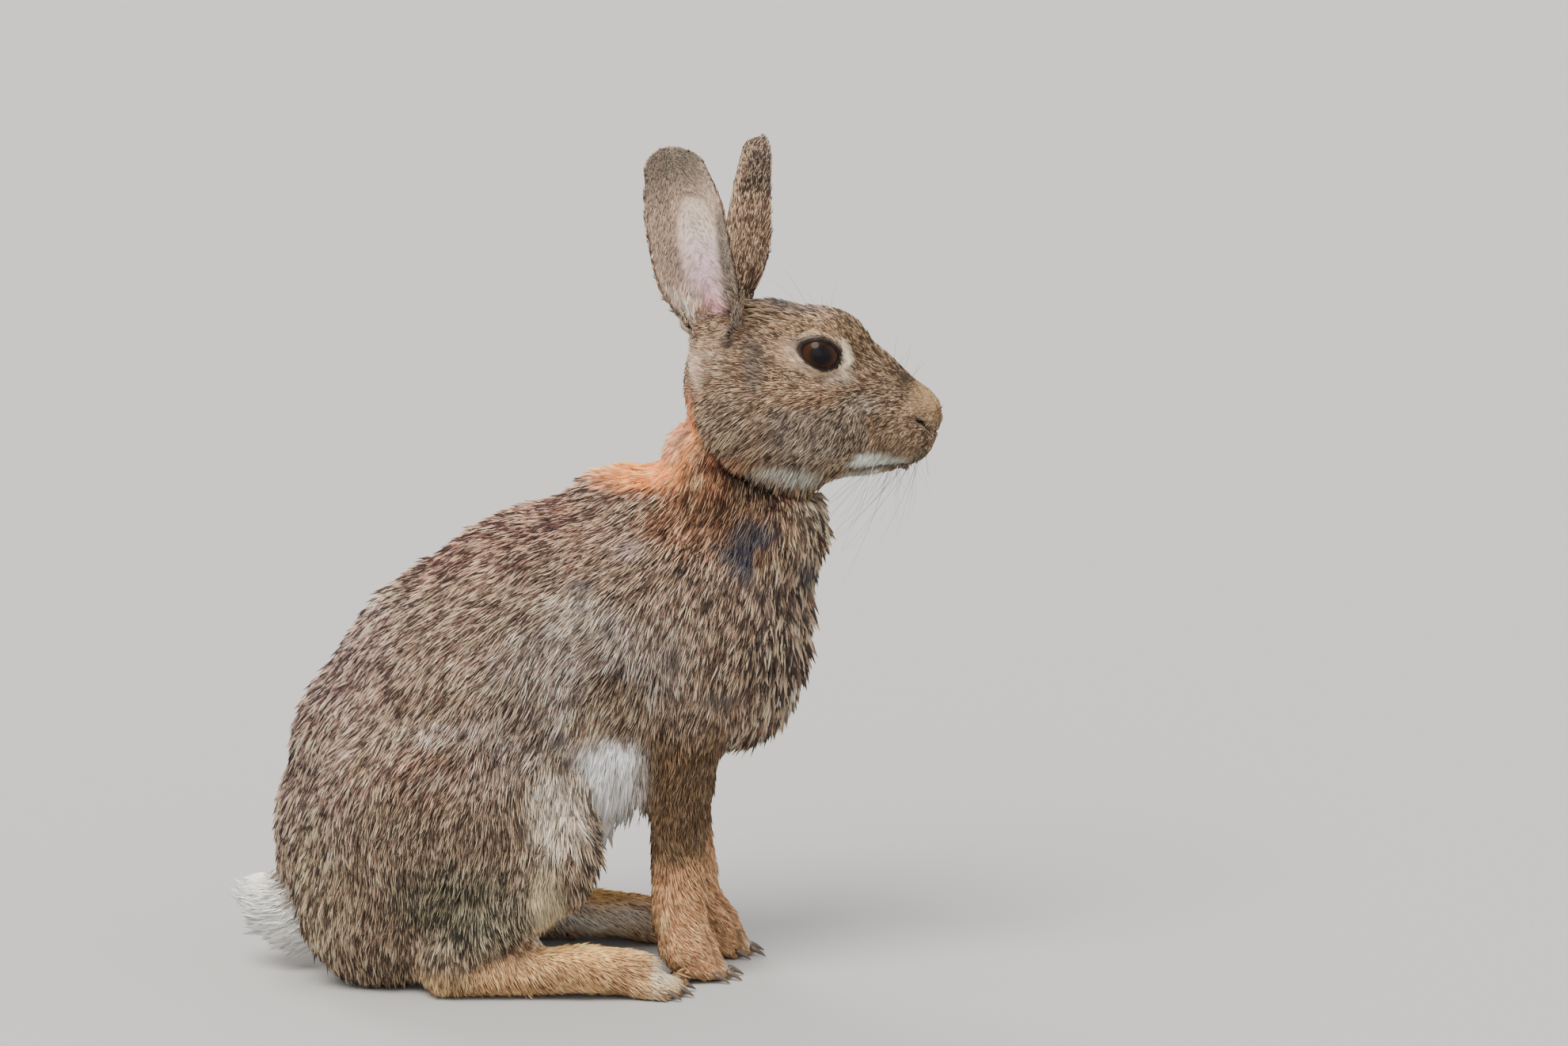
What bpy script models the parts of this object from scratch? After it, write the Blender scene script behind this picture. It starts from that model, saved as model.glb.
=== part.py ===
"""A wild rabbit sitting up and looking ahead, life size, as a still museum model.

The outline is that of the coat, out to its tips.  The flesh is blocked in as a sculptor would, from
named masses of muscle and bone, which are fused, smoothed and then parted with thin cuts into the
nodes that a person would name.  +X is the way the rabbit faces, +Y its left, +Z up.  Sizes below are
in millimetres, with the floor at height 0; MM turns them into metres.
"""

import math
from collections import namedtuple

import bmesh
import bpy
from mathutils import Matrix, Vector

MM = 0.001
VOXEL = 2.0  # grain of the fused body
BLEND_ROUNDS = 26  # rounds of smoothing on the trunk, fewer on the head and feet
BODY_TRIANGLES = 3200
FINER_FACE = 5e-7  # how strongly the thinning spares the face and feet
CUTTER_VOXEL = 4.0  # grain of the solids that part the body
CUT = 0.45  # gap left between neighbouring nodes
REACH = 2.6  # how far a cut stands outside the masses of the part that it frees
SIDES = {"right": -1, "left": 1}

# A mass is an ellipsoid with these half sizes.  A side of 0 sits on the midline, any other is the
# distance from it of a pair.  Pitch lifts its front end, in degrees.
Mass = namedtuple("Mass", "name x side z length width height pitch")
# A taper is a round bar between two points, with a radius at each end.  Broad widens it sideways.
Taper = namedtuple("Taper", "name start end start_radius end_radius broad")

HEAD = [
    Mass("cranium", 80, 0, 226, 31, 20, 25, -12),
    Mass("forehead", 98, 0, 229, 22, 16, 18, -30),
    Mass("brow", 94, 9, 232, 18, 10, 14, -20),
    Mass("temple", 92, 9, 220, 22, 11, 16, -20),
    Mass("bridge", 115, 0, 218, 25, 12, 15, -40),
    Mass("nose", 128, 0, 208.5, 14, 9.5, 14, -40),
    Mass("whisker_pad", 125, 6, 200, 13.5, 8.5, 11.5, -12),
    Mass("upper_lip", 131, 3, 197, 9, 7, 9, -30),
    Mass("chin", 118, 0, 191, 13, 8, 7, 3),
    Mass("jaw", 96, 0, 195, 27, 15, 13, 0),
    Mass("cheek", 86, 12, 207, 28, 13, 22, -8),
    Mass("jowl", 73, 11, 205, 21, 14, 20, 10),
    Mass("ear_seat", 61, 11, 233, 12, 9.5, 13, 8),
    Mass("occiput", 67, 0, 224, 18, 19, 25, 0),
]
NECK = [
    Mass("nape", 68, 0, 186, 32, 24, 27, 65),
    Mass("throat", 74, 0, 167, 26, 25, 30, 0),
]
TRUNK = [
    Mass("rump", -52, 0, 54, 53, 50, 54, 0),
    Mass("croup", -56, 0, 84, 46, 45, 42, 60),
    Mass("loin", -24, 0, 98, 68, 50, 60, 45),
    Mass("saddle", -6, 0, 128, 60, 43, 46, 33),
    Mass("ribs", 26, 0, 126, 56, 42, 52, 50),
    Mass("breast", 62, 0, 130, 34, 34, 49, 0),
    Mass("bib", 70, 0, 148, 27, 27, 26, 0),
    Mass("withers", 26, 0, 158, 38, 25, 31, 22),
    Mass("shoulder", 44, 23, 126, 29, 15, 42, 0),
    Mass("belly", 5, 0, 82, 45, 40, 26, 20),
]
TAIL = [Mass("brush", -97, 0, 22, 13, 12, 19, 60)]
HIND_LEG = [
    Mass("haunch", -36, 36, 62, 54, 21, 50, 0),
    Mass("ham", -62, 30, 34, 34, 19, 35, 0),
    Mass("knee", 0, 43, 53, 19, 14, 23, 0),
    Taper("shank", (-8, 44, 38), (-38, 44, 17), 14, 13, 1.0),
]
HIND_FOOT = [
    Taper("heel", (-40, 43, 8), (10, 43, 10), 9, 9.5, 1.25),
    Taper("instep", (10, 43, 10), (28, 42.5, 9), 9.5, 8.6, 1.35),
]
# Toes fan out from a foot: how far each lies from the foot's middle line, inwards to outwards, and
# how far its tip comes short of the longest.
TOES = [(-9.6, 5.5), (-3.4, 0.0), (3.4, 0.6), (9.4, 5.0)]
HIND_TOE = {"from_x": 26, "to_x": 44.5, "middle": 42.5, "radius": 4.6}
FORE_TOE = {"from_x": 50, "to_x": 62.5, "middle": 18, "radius": 4.0}
CLAW_LENGTH = 6.0
CLAW_RADIUS = 1.3
# The forefeet don't stand level: the left one is set this far ahead, with the leg leaning after it.
STEP_AHEAD = {"right": 0.0, "left": 8.0}

# An ear is a trough that is rolled shut at its root and opens and flattens towards its tip.
# Facing is the way its hollow looks, in degrees round the ear from straight ahead to the side.
Ear = namedtuple("Ear", "root tip facing")
EARS = {
    "right": Ear((59, -12, 240), (43.5, -27, 311), 99),
    "left": Ear((61.5, 12, 240), (76.5, 23, 307), 15),
}
EAR_SKIN = 1.9  # thickness of an ear with its short fur
EAR_HALF_WIDTH = 13.4
EAR_RINGS = 11
EAR_STEPS = 5  # faces across each half of a ring

EYE_RADIUS = 8.4
EYE_AT = (96.4, 12.8, 233.2)

# The colour and roughness of each kind of node.
AGOUTI = (0.23, 0.165, 0.11)
RUFOUS = (0.33, 0.19, 0.11)
COATS = {
    "head": (AGOUTI, 0.8),
    "neck": (RUFOUS, 0.8),
    "trunk": (AGOUTI, 0.8),
    "tail": ((0.75, 0.72, 0.68), 0.8),
    "ear": ((0.42, 0.29, 0.23), 0.7),
    "eye": ((0.03, 0.015, 0.008), 0.05),
    "foreleg": (RUFOUS, 0.8),
    "forepaw": (RUFOUS, 0.8),
    "hindleg": (AGOUTI, 0.8),
    "hindfoot": ((0.48, 0.35, 0.23), 0.8),
}


def smooth_step(low, high, value):
    share = min(max((value - low) / (high - low), 0.0), 1.0)
    return share * share * (3 - 2 * share)


def fore_leg(side):
    step = STEP_AHEAD[side]
    return [
        Taper("upper_arm", (48, 21, 100), (45.5, 19, 62), 16, 12.8, 0.95),
        Taper("forearm", (45.5, 19, 62), (45.5 + 0.6 * step, 18, 24), 12.3, 11.3, 0.95),
    ]


def toes(toe, step=0.0, spread=1.0):
    """The toes of one foot, as bars that lie on the floor and taper to their tips."""
    bars = []
    for aside, short in TOES:
        y = toe["middle"] + aside * spread
        start = (toe["from_x"] + step, toe["middle"] + 0.6 * aside * spread, toe["radius"] + 1.6)
        end = (toe["to_x"] + step - short, y, toe["radius"] - 1.3)
        bars.append(Taper("toe", start, end, toe["radius"] + 0.8, toe["radius"] - 0.3, 1.0))
    return bars


def hind_foot():
    return HIND_FOOT + toes(HIND_TOE)


def fore_paw(side):
    step = STEP_AHEAD[side]
    palm = Taper("palm", (48 + step, 18, 13), (55 + step, 18, 6.8), 11.5, 8, 1.1)
    return [palm] + toes(FORE_TOE, step, 0.82)


def add_mass(bm, mass, side, grow=0.0):
    """Puts one ellipsoid in the mesh, on the midline or on one side."""
    turn = Matrix.Rotation(math.radians(-mass.pitch), 4, "Y")
    place = Matrix.Translation(Vector((mass.x, side * mass.side, mass.z)) * MM)
    radii = [(size + grow) * MM for size in (mass.length, mass.width, mass.height)]
    matrix = place @ turn @ Matrix.Diagonal((*radii, 1))
    bmesh.ops.create_icosphere(bm, subdivisions=4, radius=1, matrix=matrix)


def add_taper(bm, taper, side, grow=0.0):
    """Puts one round bar with domed ends in the mesh."""
    start = Vector(taper.start) * MM
    end = Vector(taper.end) * MM
    start.y *= side
    end.y *= side
    steps = 9
    for step in range(steps):
        share = step / (steps - 1)
        radius = (taper.start_radius * (1 - share) + taper.end_radius * share + grow) * MM
        matrix = Matrix.Translation(start.lerp(end, share)) @ Matrix.Diagonal((1, taper.broad, 1, 1))
        bmesh.ops.create_icosphere(bm, subdivisions=3, radius=radius, matrix=matrix)


def add_forms(bm, forms, sides, grow=0.0):
    """Adds masses and tapers.  A midline mass is the same on either side, so once is enough."""
    for form in forms:
        if isinstance(form, Taper):
            for side in sides:
                add_taper(bm, form, side, grow)
        elif form.side:
            for side in sides:
                add_mass(bm, form, side, grow)
        else:
            add_mass(bm, form, 1, grow)


def object_from(bm, name):
    mesh = bpy.data.meshes.new(name)
    bm.to_mesh(mesh)
    bm.free()
    obj = bpy.data.objects.new(name, mesh)
    bpy.context.scene.collection.objects.link(obj)
    return obj


def apply_modifiers(obj):
    """Makes the mesh what its modifiers show, and clears them."""
    graph = bpy.context.evaluated_depsgraph_get()
    mesh = bpy.data.meshes.new_from_object(obj.evaluated_get(graph))
    obj.modifiers.clear()
    obj.data = mesh


def fuse(obj, voxel):
    remesh = obj.modifiers.new("fuse", "REMESH")
    remesh.mode = "VOXEL"
    remesh.voxel_size = voxel * MM
    apply_modifiers(obj)


def softness(point):
    """How far the masses melt into each other at a point: much on the trunk, little on the face."""
    x, z = point.x / MM, point.z / MM
    face = 0.9 * smooth_step(175, 200, z) * smooth_step(40, 60, x)
    feet = 1 - smooth_step(22, 48, z)
    return 1 - 0.86 * max(face, 0.9 * feet)


def blend(obj):
    group = obj.vertex_groups.new(name="softness")
    for vertex in obj.data.vertices:
        group.add([vertex.index], softness(vertex.co), "REPLACE")
    smooth = obj.modifiers.new("blend", "SMOOTH")
    smooth.factor = 0.5
    smooth.iterations = BLEND_ROUNDS
    smooth.vertex_group = "softness"
    apply_modifiers(obj)


def whole_body():
    bm = bmesh.new()
    for forms in (HEAD, NECK, TRUNK, TAIL, HIND_LEG, hind_foot()):
        add_forms(bm, forms, SIDES.values())
    for side, sign in SIDES.items():
        add_forms(bm, fore_leg(side) + fore_paw(side), [sign])
    body = object_from(bm, "body")
    fuse(body, VOXEL)
    blend(body)
    return body


def ear_ring(ear, share):
    """The crescent cross-section of an ear at a share of its length."""
    root, tip = Vector(ear.root), Vector(ear.tip)
    along = (tip - root).normalized()
    ahead = (Vector((1, 0, 0)) - along * along.x).normalized()
    outward = along.cross(ahead) * (1 if root.y > 0 else -1)
    facing = math.radians(ear.facing)
    hollow = ahead * math.cos(facing) + outward * math.sin(facing)
    across = along.cross(hollow)
    rounding = max((share - 0.58) / 0.42, 0.0)
    half = EAR_HALF_WIDTH * (0.5 + 0.5 * smooth_step(-0.16, 0.38, share))
    half *= math.sqrt(max(1 - rounding**2.4, 0.0))
    spread = math.radians(150 - 62 * smooth_step(-0.05, 0.25, share) - 38 * smooth_step(0.2, 0.9, share))
    radius = half / math.sin(min(spread, math.pi / 2))
    sunk = 0.95 - 0.6 * smooth_step(0.0, 0.5, share)
    back = root.lerp(tip, share) - hollow * (radius * sunk)
    ring = []
    for layer in (1, -1):
        for step in range(2 * EAR_STEPS + 1):
            turn = layer * (step / EAR_STEPS - 1) * spread
            edge = abs(turn / spread) ** 6
            reach = radius + layer * EAR_SKIN * (0.5 - 0.3 * edge)
            offset = hollow * (radius - reach * math.cos(turn)) + across * (reach * math.sin(turn))
            ring.append((back + offset) * MM)
    return ring


def build_ear(name, ear):
    bm = bmesh.new()
    previous = None
    for step in range(EAR_RINGS + 1):
        share = -0.12 + 1.112 * step / EAR_RINGS
        ring = [bm.verts.new(point) for point in ear_ring(ear, share)]
        edges = [bm.edges.new((ring[i - 1], ring[i])) for i in range(len(ring))]
        if previous:
            bmesh.ops.bridge_loops(bm, edges=previous + edges)
            if step == EAR_RINGS:
                bm.faces.new(ring)
        else:
            bm.faces.new(ring)
        previous = edges
    bmesh.ops.recalc_face_normals(bm, faces=bm.faces)
    return object_from(bm, name)


def add_claws(foot, bars, side):
    """Joins one claw to the end of each toe, pointing ahead and down to the floor."""
    for bar in bars:
        tip = Vector(bar.end)
        lean = Vector((1, 0.25 * math.copysign(1, bar.end[1] - bar.start[1]) * side, -0.3)).normalized()
        start = Vector((tip.x, tip.y * side, tip.z + 0.9))
        middle = start + lean * (bar.end_radius - 1.5 + CLAW_LENGTH / 2)
        turn = lean.to_track_quat("Z", "Y").to_matrix().to_4x4()
        bm = bmesh.new()
        bmesh.ops.create_cone(
            bm,
            cap_ends=True,
            segments=6,
            radius1=CLAW_RADIUS * MM,
            radius2=0.35 * MM,
            depth=CLAW_LENGTH * MM,
            matrix=Matrix.Translation(middle * MM) @ turn,
        )
        boolean(foot, "UNION", object_from(bm, "claw"))


def thin_out(obj, triangles):
    count = sum(len(face.vertices) - 2 for face in obj.data.polygons)
    decimate = obj.modifiers.new("thin", "DECIMATE")
    decimate.ratio = triangles / count
    if "softness" in obj.vertex_groups:
        decimate.vertex_group = "softness"
        decimate.vertex_group_factor = FINER_FACE
    apply_modifiers(obj)


def swollen_copy(obj, by):
    """A copy of an object whose surface stands further out, to clear room round it."""
    copy = obj.copy()
    bpy.context.scene.collection.objects.link(copy)
    swell = copy.modifiers.new("swell", "DISPLACE")
    swell.mid_level = 0
    swell.strength = by * MM
    apply_modifiers(copy)
    return copy


def region(forms, sides, triangles):
    """A solid that takes in the given masses with a margin, to cut the body with."""
    bm = bmesh.new()
    add_forms(bm, forms, sides, REACH)
    cutter = object_from(bm, "cutter")
    fuse(cutter, CUTTER_VOXEL)
    thin_out(cutter, triangles)
    return cutter


def boolean(obj, operation, other):
    modifier = obj.modifiers.new(operation, "BOOLEAN")
    modifier.operation = operation
    modifier.solver = "EXACT"
    modifier.object = other
    apply_modifiers(obj)
    bpy.data.objects.remove(other)
    drop_scraps(obj)


def drop_scraps(obj):
    """Keeps the largest of the bodies in a mesh, as a grazing cut can leave slivers."""
    bm = bmesh.new()
    bm.from_mesh(obj.data)
    loose, bodies = set(bm.verts), []
    while loose:
        front = [loose.pop()]
        body = set(front)
        while front:
            for edge in front.pop().link_edges:
                fresh = loose.intersection(edge.verts)
                loose -= fresh
                body |= fresh
                front.extend(fresh)
        bodies.append(body)
    largest = max(bodies, key=len)
    bmesh.ops.delete(bm, geom=[vert for vert in bm.verts if vert not in largest])
    bm.to_mesh(obj.data)
    bm.free()


def part_off(body, name, forms, sides, triangles):
    """Frees one node from the body, and leaves a thin gap round it."""
    piece = body.copy()
    piece.name = name
    bpy.context.scene.collection.objects.link(piece)
    cutter = region(forms, sides, triangles)
    wider = swollen_copy(cutter, CUT)
    boolean(piece, "INTERSECT", cutter)
    boolean(body, "DIFFERENCE", wider)
    return piece


def sphere(name, centre, radius):
    bm = bmesh.new()
    place = Matrix.Translation(Vector(centre) * MM)
    bmesh.ops.create_uvsphere(
        bm, u_segments=14, v_segments=9, radius=radius * MM, matrix=place @ Matrix.Rotation(math.pi / 2, 4, "X")
    )
    return object_from(bm, name)


def stand_on_floor(obj):
    """Slices off what reaches below the floor, which leaves a flat under each foot."""
    bm = bmesh.new()
    bm.from_mesh(obj.data)
    parts = bm.verts[:] + bm.edges[:] + bm.faces[:]
    cut = bmesh.ops.bisect_plane(
        bm, geom=parts, dist=1e-7, plane_co=(0, 0, 0), plane_no=(0, 0, -1), clear_outer=True
    )
    rim = [edge for edge in cut["geom_cut"] if isinstance(edge, bmesh.types.BMEdge)]
    bmesh.ops.holes_fill(bm, edges=rim, sides=0)
    bm.to_mesh(obj.data)
    bm.free()


def material(name, colour, roughness):
    made = bpy.data.materials.new(name)
    made.use_nodes = True
    shader = made.node_tree.nodes["Principled BSDF"]
    shader.inputs["Base Color"].default_value = (*colour, 1)
    shader.inputs["Roughness"].default_value = roughness
    return made


def place_on_centre(nodes):
    """Puts the origin at the bottom centre of the whole model's box, and shades the flesh smooth."""
    points = [vertex.co for node in nodes for vertex in node.data.vertices]
    middle = [(min(p[axis] for p in points) + max(p[axis] for p in points)) / 2 for axis in (0, 1)]
    for node in nodes:
        node.data.transform(Matrix.Translation((-middle[0], -middle[1], 0)))
        node.data.shade_smooth()
        node.data.set_sharp_from_angle(angle=math.radians(50))
        colour, roughness = COATS[node.name.split("_")[0]]
        node.data.materials.clear()
        node.data.materials.append(material(f"{node.name} coat", colour, roughness))


def main():
    for obj in list(bpy.data.objects):
        bpy.data.objects.remove(obj)
    body = whole_body()
    thin_out(body, BODY_TRIANGLES)
    stand_on_floor(body)
    for side, sign in SIDES.items():
        x, y, z = EYE_AT
        centre = (x, sign * y, z)
        sphere(f"eye_{side}", centre, EYE_RADIUS)
        boolean(body, "DIFFERENCE", sphere("socket", centre, EYE_RADIUS + CUT))
    part_off(body, "head", HEAD, SIDES.values(), 240)
    part_off(body, "tail", TAIL, SIDES.values(), 90)
    for side, sign in SIDES.items():
        paw = part_off(body, f"forepaw_{side}", fore_paw(side), [sign], 110)
        add_claws(paw, toes(FORE_TOE, STEP_AHEAD[side], 0.82), sign)
        part_off(body, f"foreleg_{side}", fore_leg(side), [sign], 110)
        foot = part_off(body, f"hindfoot_{side}", hind_foot(), [sign], 180)
        add_claws(foot, toes(HIND_TOE), sign)
        part_off(body, f"hindleg_{side}", HIND_LEG, [sign], 170)
    part_off(body, "neck", NECK, SIDES.values(), 110)
    body.name = "trunk"
    for side, ear in EARS.items():
        piece = build_ear(f"ear_{side}", ear)
        boolean(piece, "DIFFERENCE", swollen_copy(bpy.data.objects["head"], CUT))
    place_on_centre([obj for obj in bpy.data.objects if obj.type == "MESH"])


main()
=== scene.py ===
"""The looks of a wild rabbit that sits up: one skin over the whole body, a coat of solid tufts that
lies along it, lidded eyes, claws and whiskers, on a plain pale floor.

Lengths are written in millimetres, and MM turns them into metres.  +X is the way the rabbit faces.
"""

import math
from collections import namedtuple

import bmesh
import bpy
import numpy as np
from mathutils import Matrix, Vector
from mathutils.bvhtree import BVHTree
from mathutils.geometry import barycentric_transform
from mathutils.kdtree import KDTree


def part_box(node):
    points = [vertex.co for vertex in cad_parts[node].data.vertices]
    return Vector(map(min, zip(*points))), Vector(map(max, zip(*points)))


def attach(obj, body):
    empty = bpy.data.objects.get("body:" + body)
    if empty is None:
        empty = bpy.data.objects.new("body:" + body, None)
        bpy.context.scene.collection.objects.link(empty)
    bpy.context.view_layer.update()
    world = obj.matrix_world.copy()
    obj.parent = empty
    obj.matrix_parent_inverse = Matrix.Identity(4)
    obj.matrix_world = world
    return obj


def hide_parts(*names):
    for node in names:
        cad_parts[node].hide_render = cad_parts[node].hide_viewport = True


MM = 0.001
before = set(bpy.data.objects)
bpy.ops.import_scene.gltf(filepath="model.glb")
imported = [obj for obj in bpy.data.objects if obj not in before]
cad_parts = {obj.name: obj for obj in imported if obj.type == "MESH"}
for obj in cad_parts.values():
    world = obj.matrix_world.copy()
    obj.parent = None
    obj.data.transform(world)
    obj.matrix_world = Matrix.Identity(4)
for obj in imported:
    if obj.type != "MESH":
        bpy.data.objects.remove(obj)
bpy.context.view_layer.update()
THINNER = 1.0


# ---------------------------------------------------------------- camera, floor and light


CAMERA_HEIGHT = math.radians(12)  # how far it looks down
CAMERA_DISTANCE = 4000
CAMERA_AIM = Vector((70.5, 0, 167.4))
CAMERA_LENS = 250.8
FLOOR_SIZE = 30000


def put_in_scene(name, data):
    obj = bpy.data.objects.new(name, data)
    bpy.context.scene.collection.objects.link(obj)
    return obj


def aim(obj, direction):
    obj.rotation_mode = "QUATERNION"
    obj.rotation_quaternion = Vector(direction).to_track_quat("-Z", "Y")


def add_camera():
    """A long lens, a little above the rabbit's back and square to its side."""
    camera = put_in_scene("camera", bpy.data.cameras.new("camera"))
    back = Vector((0, -math.cos(CAMERA_HEIGHT), math.sin(CAMERA_HEIGHT)))
    camera.location = (CAMERA_AIM + back * CAMERA_DISTANCE) * MM
    aim(camera, -back)
    camera.data.sensor_width = 36
    camera.data.lens = CAMERA_LENS
    camera.data.clip_start = 0.1
    camera.data.clip_end = 100
    bpy.context.scene.camera = camera


def add_sun(name, strength, direction, softness, colour):
    data = bpy.data.lights.new(name, "SUN")
    data.energy = strength
    data.angle = math.radians(softness)
    data.color = colour
    aim(put_in_scene(name, data), direction)


def add_light():
    add_sun("key", 4.9, (0.3, 0.5, -0.9), 36, (1.0, 0.96, 0.9))
    add_sun("rim", 1.7, (0.5, -0.8, -0.6), 24, (1.0, 0.95, 0.9))
    add_sun("low fill", 1.0, (0.1, 1.0, -0.12), 60, (0.97, 0.98, 1.0))
    add_sun("fill", 0.6, (-0.9, 0.45, -0.25), 60, (0.95, 0.97, 1.0))
    world = bpy.data.worlds.new("studio")
    bpy.context.scene.world = world
    world.use_nodes = True
    sky = world.node_tree.nodes["Background"]
    sky.inputs["Color"].default_value = (0.93, 0.94, 0.95, 1)
    sky.inputs["Strength"].default_value = 1.03


def add_floor():
    bm = bmesh.new()
    bmesh.ops.create_grid(bm, x_segments=1, y_segments=1, size=FLOOR_SIZE * MM)
    floor = make_object("floor", bm)
    finish = Finish("pale floor")
    finish.surface(base=(0.40, 0.39, 0.378), roughness=0.8, specular=0.2)
    floor.data.materials.append(finish.material)


# ---------------------------------------------------------------- materials


class Wire:
    """A socket that carries a value, so that shader maths reads as a sum."""

    def __init__(self, finish, socket):
        self.finish = finish
        self.socket = socket

    def _maths(self, operation, *values):
        return self.finish.node("ShaderNodeMath", {"operation": operation}, dict(enumerate(values)))

    def __add__(self, other):
        return self._maths("ADD", self, other)

    def __sub__(self, other):
        return self._maths("SUBTRACT", self, other)

    def __rsub__(self, other):
        return self._maths("SUBTRACT", other, self)

    def __mul__(self, other):
        return self._maths("MULTIPLY", self, other)

    def __truediv__(self, other):
        return self._maths("DIVIDE", self, other)

    def power(self, other):
        return self._maths("POWER", self, other)

    def clipped(self):
        return self._maths("MINIMUM", self._maths("MAXIMUM", self, 0.0), 1.0)

    __radd__ = __add__
    __rmul__ = __mul__


class Finish:
    """A material, built one node at a time."""

    def __init__(self, name):
        self.material = bpy.data.materials.new(name)
        self.material.use_nodes = True
        self.tree = self.material.node_tree
        self.shader = self.tree.nodes["Principled BSDF"]

    def fill(self, socket, value):
        if isinstance(value, Wire):
            self.tree.links.new(value.socket, socket)
        elif isinstance(value, tuple) and len(value) == 3 and socket.type == "RGBA":
            socket.default_value = (*value, 1)
        else:
            socket.default_value = value

    def node(self, kind, settings, inputs, output=0):
        node = self.tree.nodes.new(kind)
        for name, value in settings.items():
            setattr(node, name, value)
        for name, value in inputs.items():
            self.fill(node.inputs[name], value)
        return Wire(self, node.outputs[output])

    def vector(self, operation, *values, output=0):
        return self.node("ShaderNodeVectorMath", {"operation": operation}, dict(enumerate(values)), output)

    def attribute(self, name, output="Color"):
        return self.node("ShaderNodeAttribute", {"attribute_name": name}, {}, output)

    def place(self):
        return self.node("ShaderNodeTexCoord", {}, {}, "Object")

    def noise(self, scale, detail=3.0, vector=None, stretch=None):
        vector = vector or self.place()
        if stretch:
            vector = self.node("ShaderNodeMapping", {}, {"Vector": vector, "Scale": stretch})
        return self.node("ShaderNodeTexNoise", {}, {"Vector": vector, "Scale": scale, "Detail": detail})

    def blend(self, share, first, second, way="MIX"):
        """Mixes two colours.  The sockets of a Mix node are numbered, as several have one name."""
        made = self.tree.nodes.new("ShaderNodeMix")
        made.data_type = "RGBA"
        made.blend_type = way
        self.fill(made.inputs[0], share)
        self.fill(made.inputs[6], first)
        self.fill(made.inputs[7], second)
        return Wire(self, made.outputs[2])

    def ramp(self, stops, value):
        """Turns a value into a colour, by stops of a place and its colour."""
        made = self.tree.nodes.new("ShaderNodeValToRGB")
        elements = made.color_ramp.elements
        while len(elements) < len(stops):
            elements.new(0.5)
        for element, (place, colour) in zip(elements, stops):
            element.position = place
            element.color = (*colour, 1)
        self.fill(made.inputs[0], value)
        return Wire(self, made.outputs[0])

    def bump(self, height, strength, distance):
        return self.node("ShaderNodeBump", {}, {"Height": height, "Strength": strength, "Distance": distance})

    def surface(self, base, roughness, specular=0.5, normal=None, **others):
        self.fill(self.shader.inputs["Base Color"], base)
        self.fill(self.shader.inputs["Roughness"], roughness)
        self.fill(self.shader.inputs["Specular IOR Level"], specular)
        if normal:
            self.fill(self.shader.inputs["Normal"], normal)
        for name, value in others.items():
            self.fill(self.shader.inputs[name.replace("_", " ")], value)


def coat_finish():
    finish = Finish("coat")
    finish.surface(base=finish.attribute("coat"), roughness=0.65, specular=0.1)
    return finish.material


def skin_finish():
    """Under the tufts the same markings show as close short fur, and in the ears as bare skin."""
    finish = Finish("skin")
    bare = finish.attribute("bare", "Fac")
    fine = finish.noise(900.0, 2.0, stretch=(1.0, 1.0, 0.35))
    soft = finish.noise(160.0, 4.0)
    short_fur = finish.blend(
        (fine * 1.6 - 0.3).clipped() * (1 - bare), finish.attribute("coat"), (0.05, 0.035, 0.03), "MULTIPLY"
    )
    colour = finish.blend((soft * 0.5).clipped(), short_fur, finish.attribute("coat"))
    height = fine * (1 - bare * 0.85) + soft * 0.3
    finish.surface(
        base=colour,
        roughness=0.85 - bare * 0.3,
        specular=0.25,
        normal=finish.bump(height, 0.5, 0.0006),
    )
    return finish.material


# From the middle of the pupil to the rim of the iris.
IRIS = [
    (0.0, (0.004, 0.003, 0.004)),
    (0.34, (0.004, 0.003, 0.004)),
    (0.42, (0.012, 0.005, 0.003)),
    (0.62, (0.034, 0.012, 0.004)),
    (0.78, (0.03, 0.01, 0.004)),
    (0.90, (0.008, 0.004, 0.003)),
]


def eye_finish(side):
    """A dark pupil in a brown iris that is streaked from its middle, under a wet clear coat."""
    eye = EYES[side]
    finish = Finish(f"eye {side}")
    centred = finish.vector("SUBTRACT", finish.place(), tuple(eye.centre * MM))
    ahead = finish.vector("DOT_PRODUCT", centred, tuple(eye.axis), output="Value")
    far = finish.vector("LENGTH", centred, output="Value")
    off_axis = (1.0 - (ahead / far) * (ahead / far)).clipped().power(0.5)  # sine of the angle off the axis
    streaks = finish.noise(240.0, 3.0, centred)
    warm = finish.ramp(IRIS, off_axis + (streaks - 0.5) * 0.09)
    wet = {"Coat_Weight": 0.3, "Coat_Roughness": 0.02, "Coat_IOR": 1.32}
    finish.surface(base=warm, roughness=0.4, specular=0.05, **wet)
    return finish.material


def plain_finish(name, colour, roughness, specular=0.4, grain_scale=None):
    """One colour, with darker mottling where a grain is given."""
    finish = Finish(name)
    base = colour
    if grain_scale:
        darker = tuple(part * 0.45 for part in colour)
        base = finish.blend((finish.noise(grain_scale, 3.0) * 1.7 - 0.35).clipped(), darker, colour)
    finish.surface(base=base, roughness=roughness, specular=specular)
    return finish.material


# ---------------------------------------------------------------- the rabbit's places

Eye = namedtuple("Eye", "centre radius axis ahead up")
Ear = namedtuple("Ear", "root tip along hollow across front")


def unit(vector):
    vector = np.asarray(vector, float)
    return vector / np.linalg.norm(vector)


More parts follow.
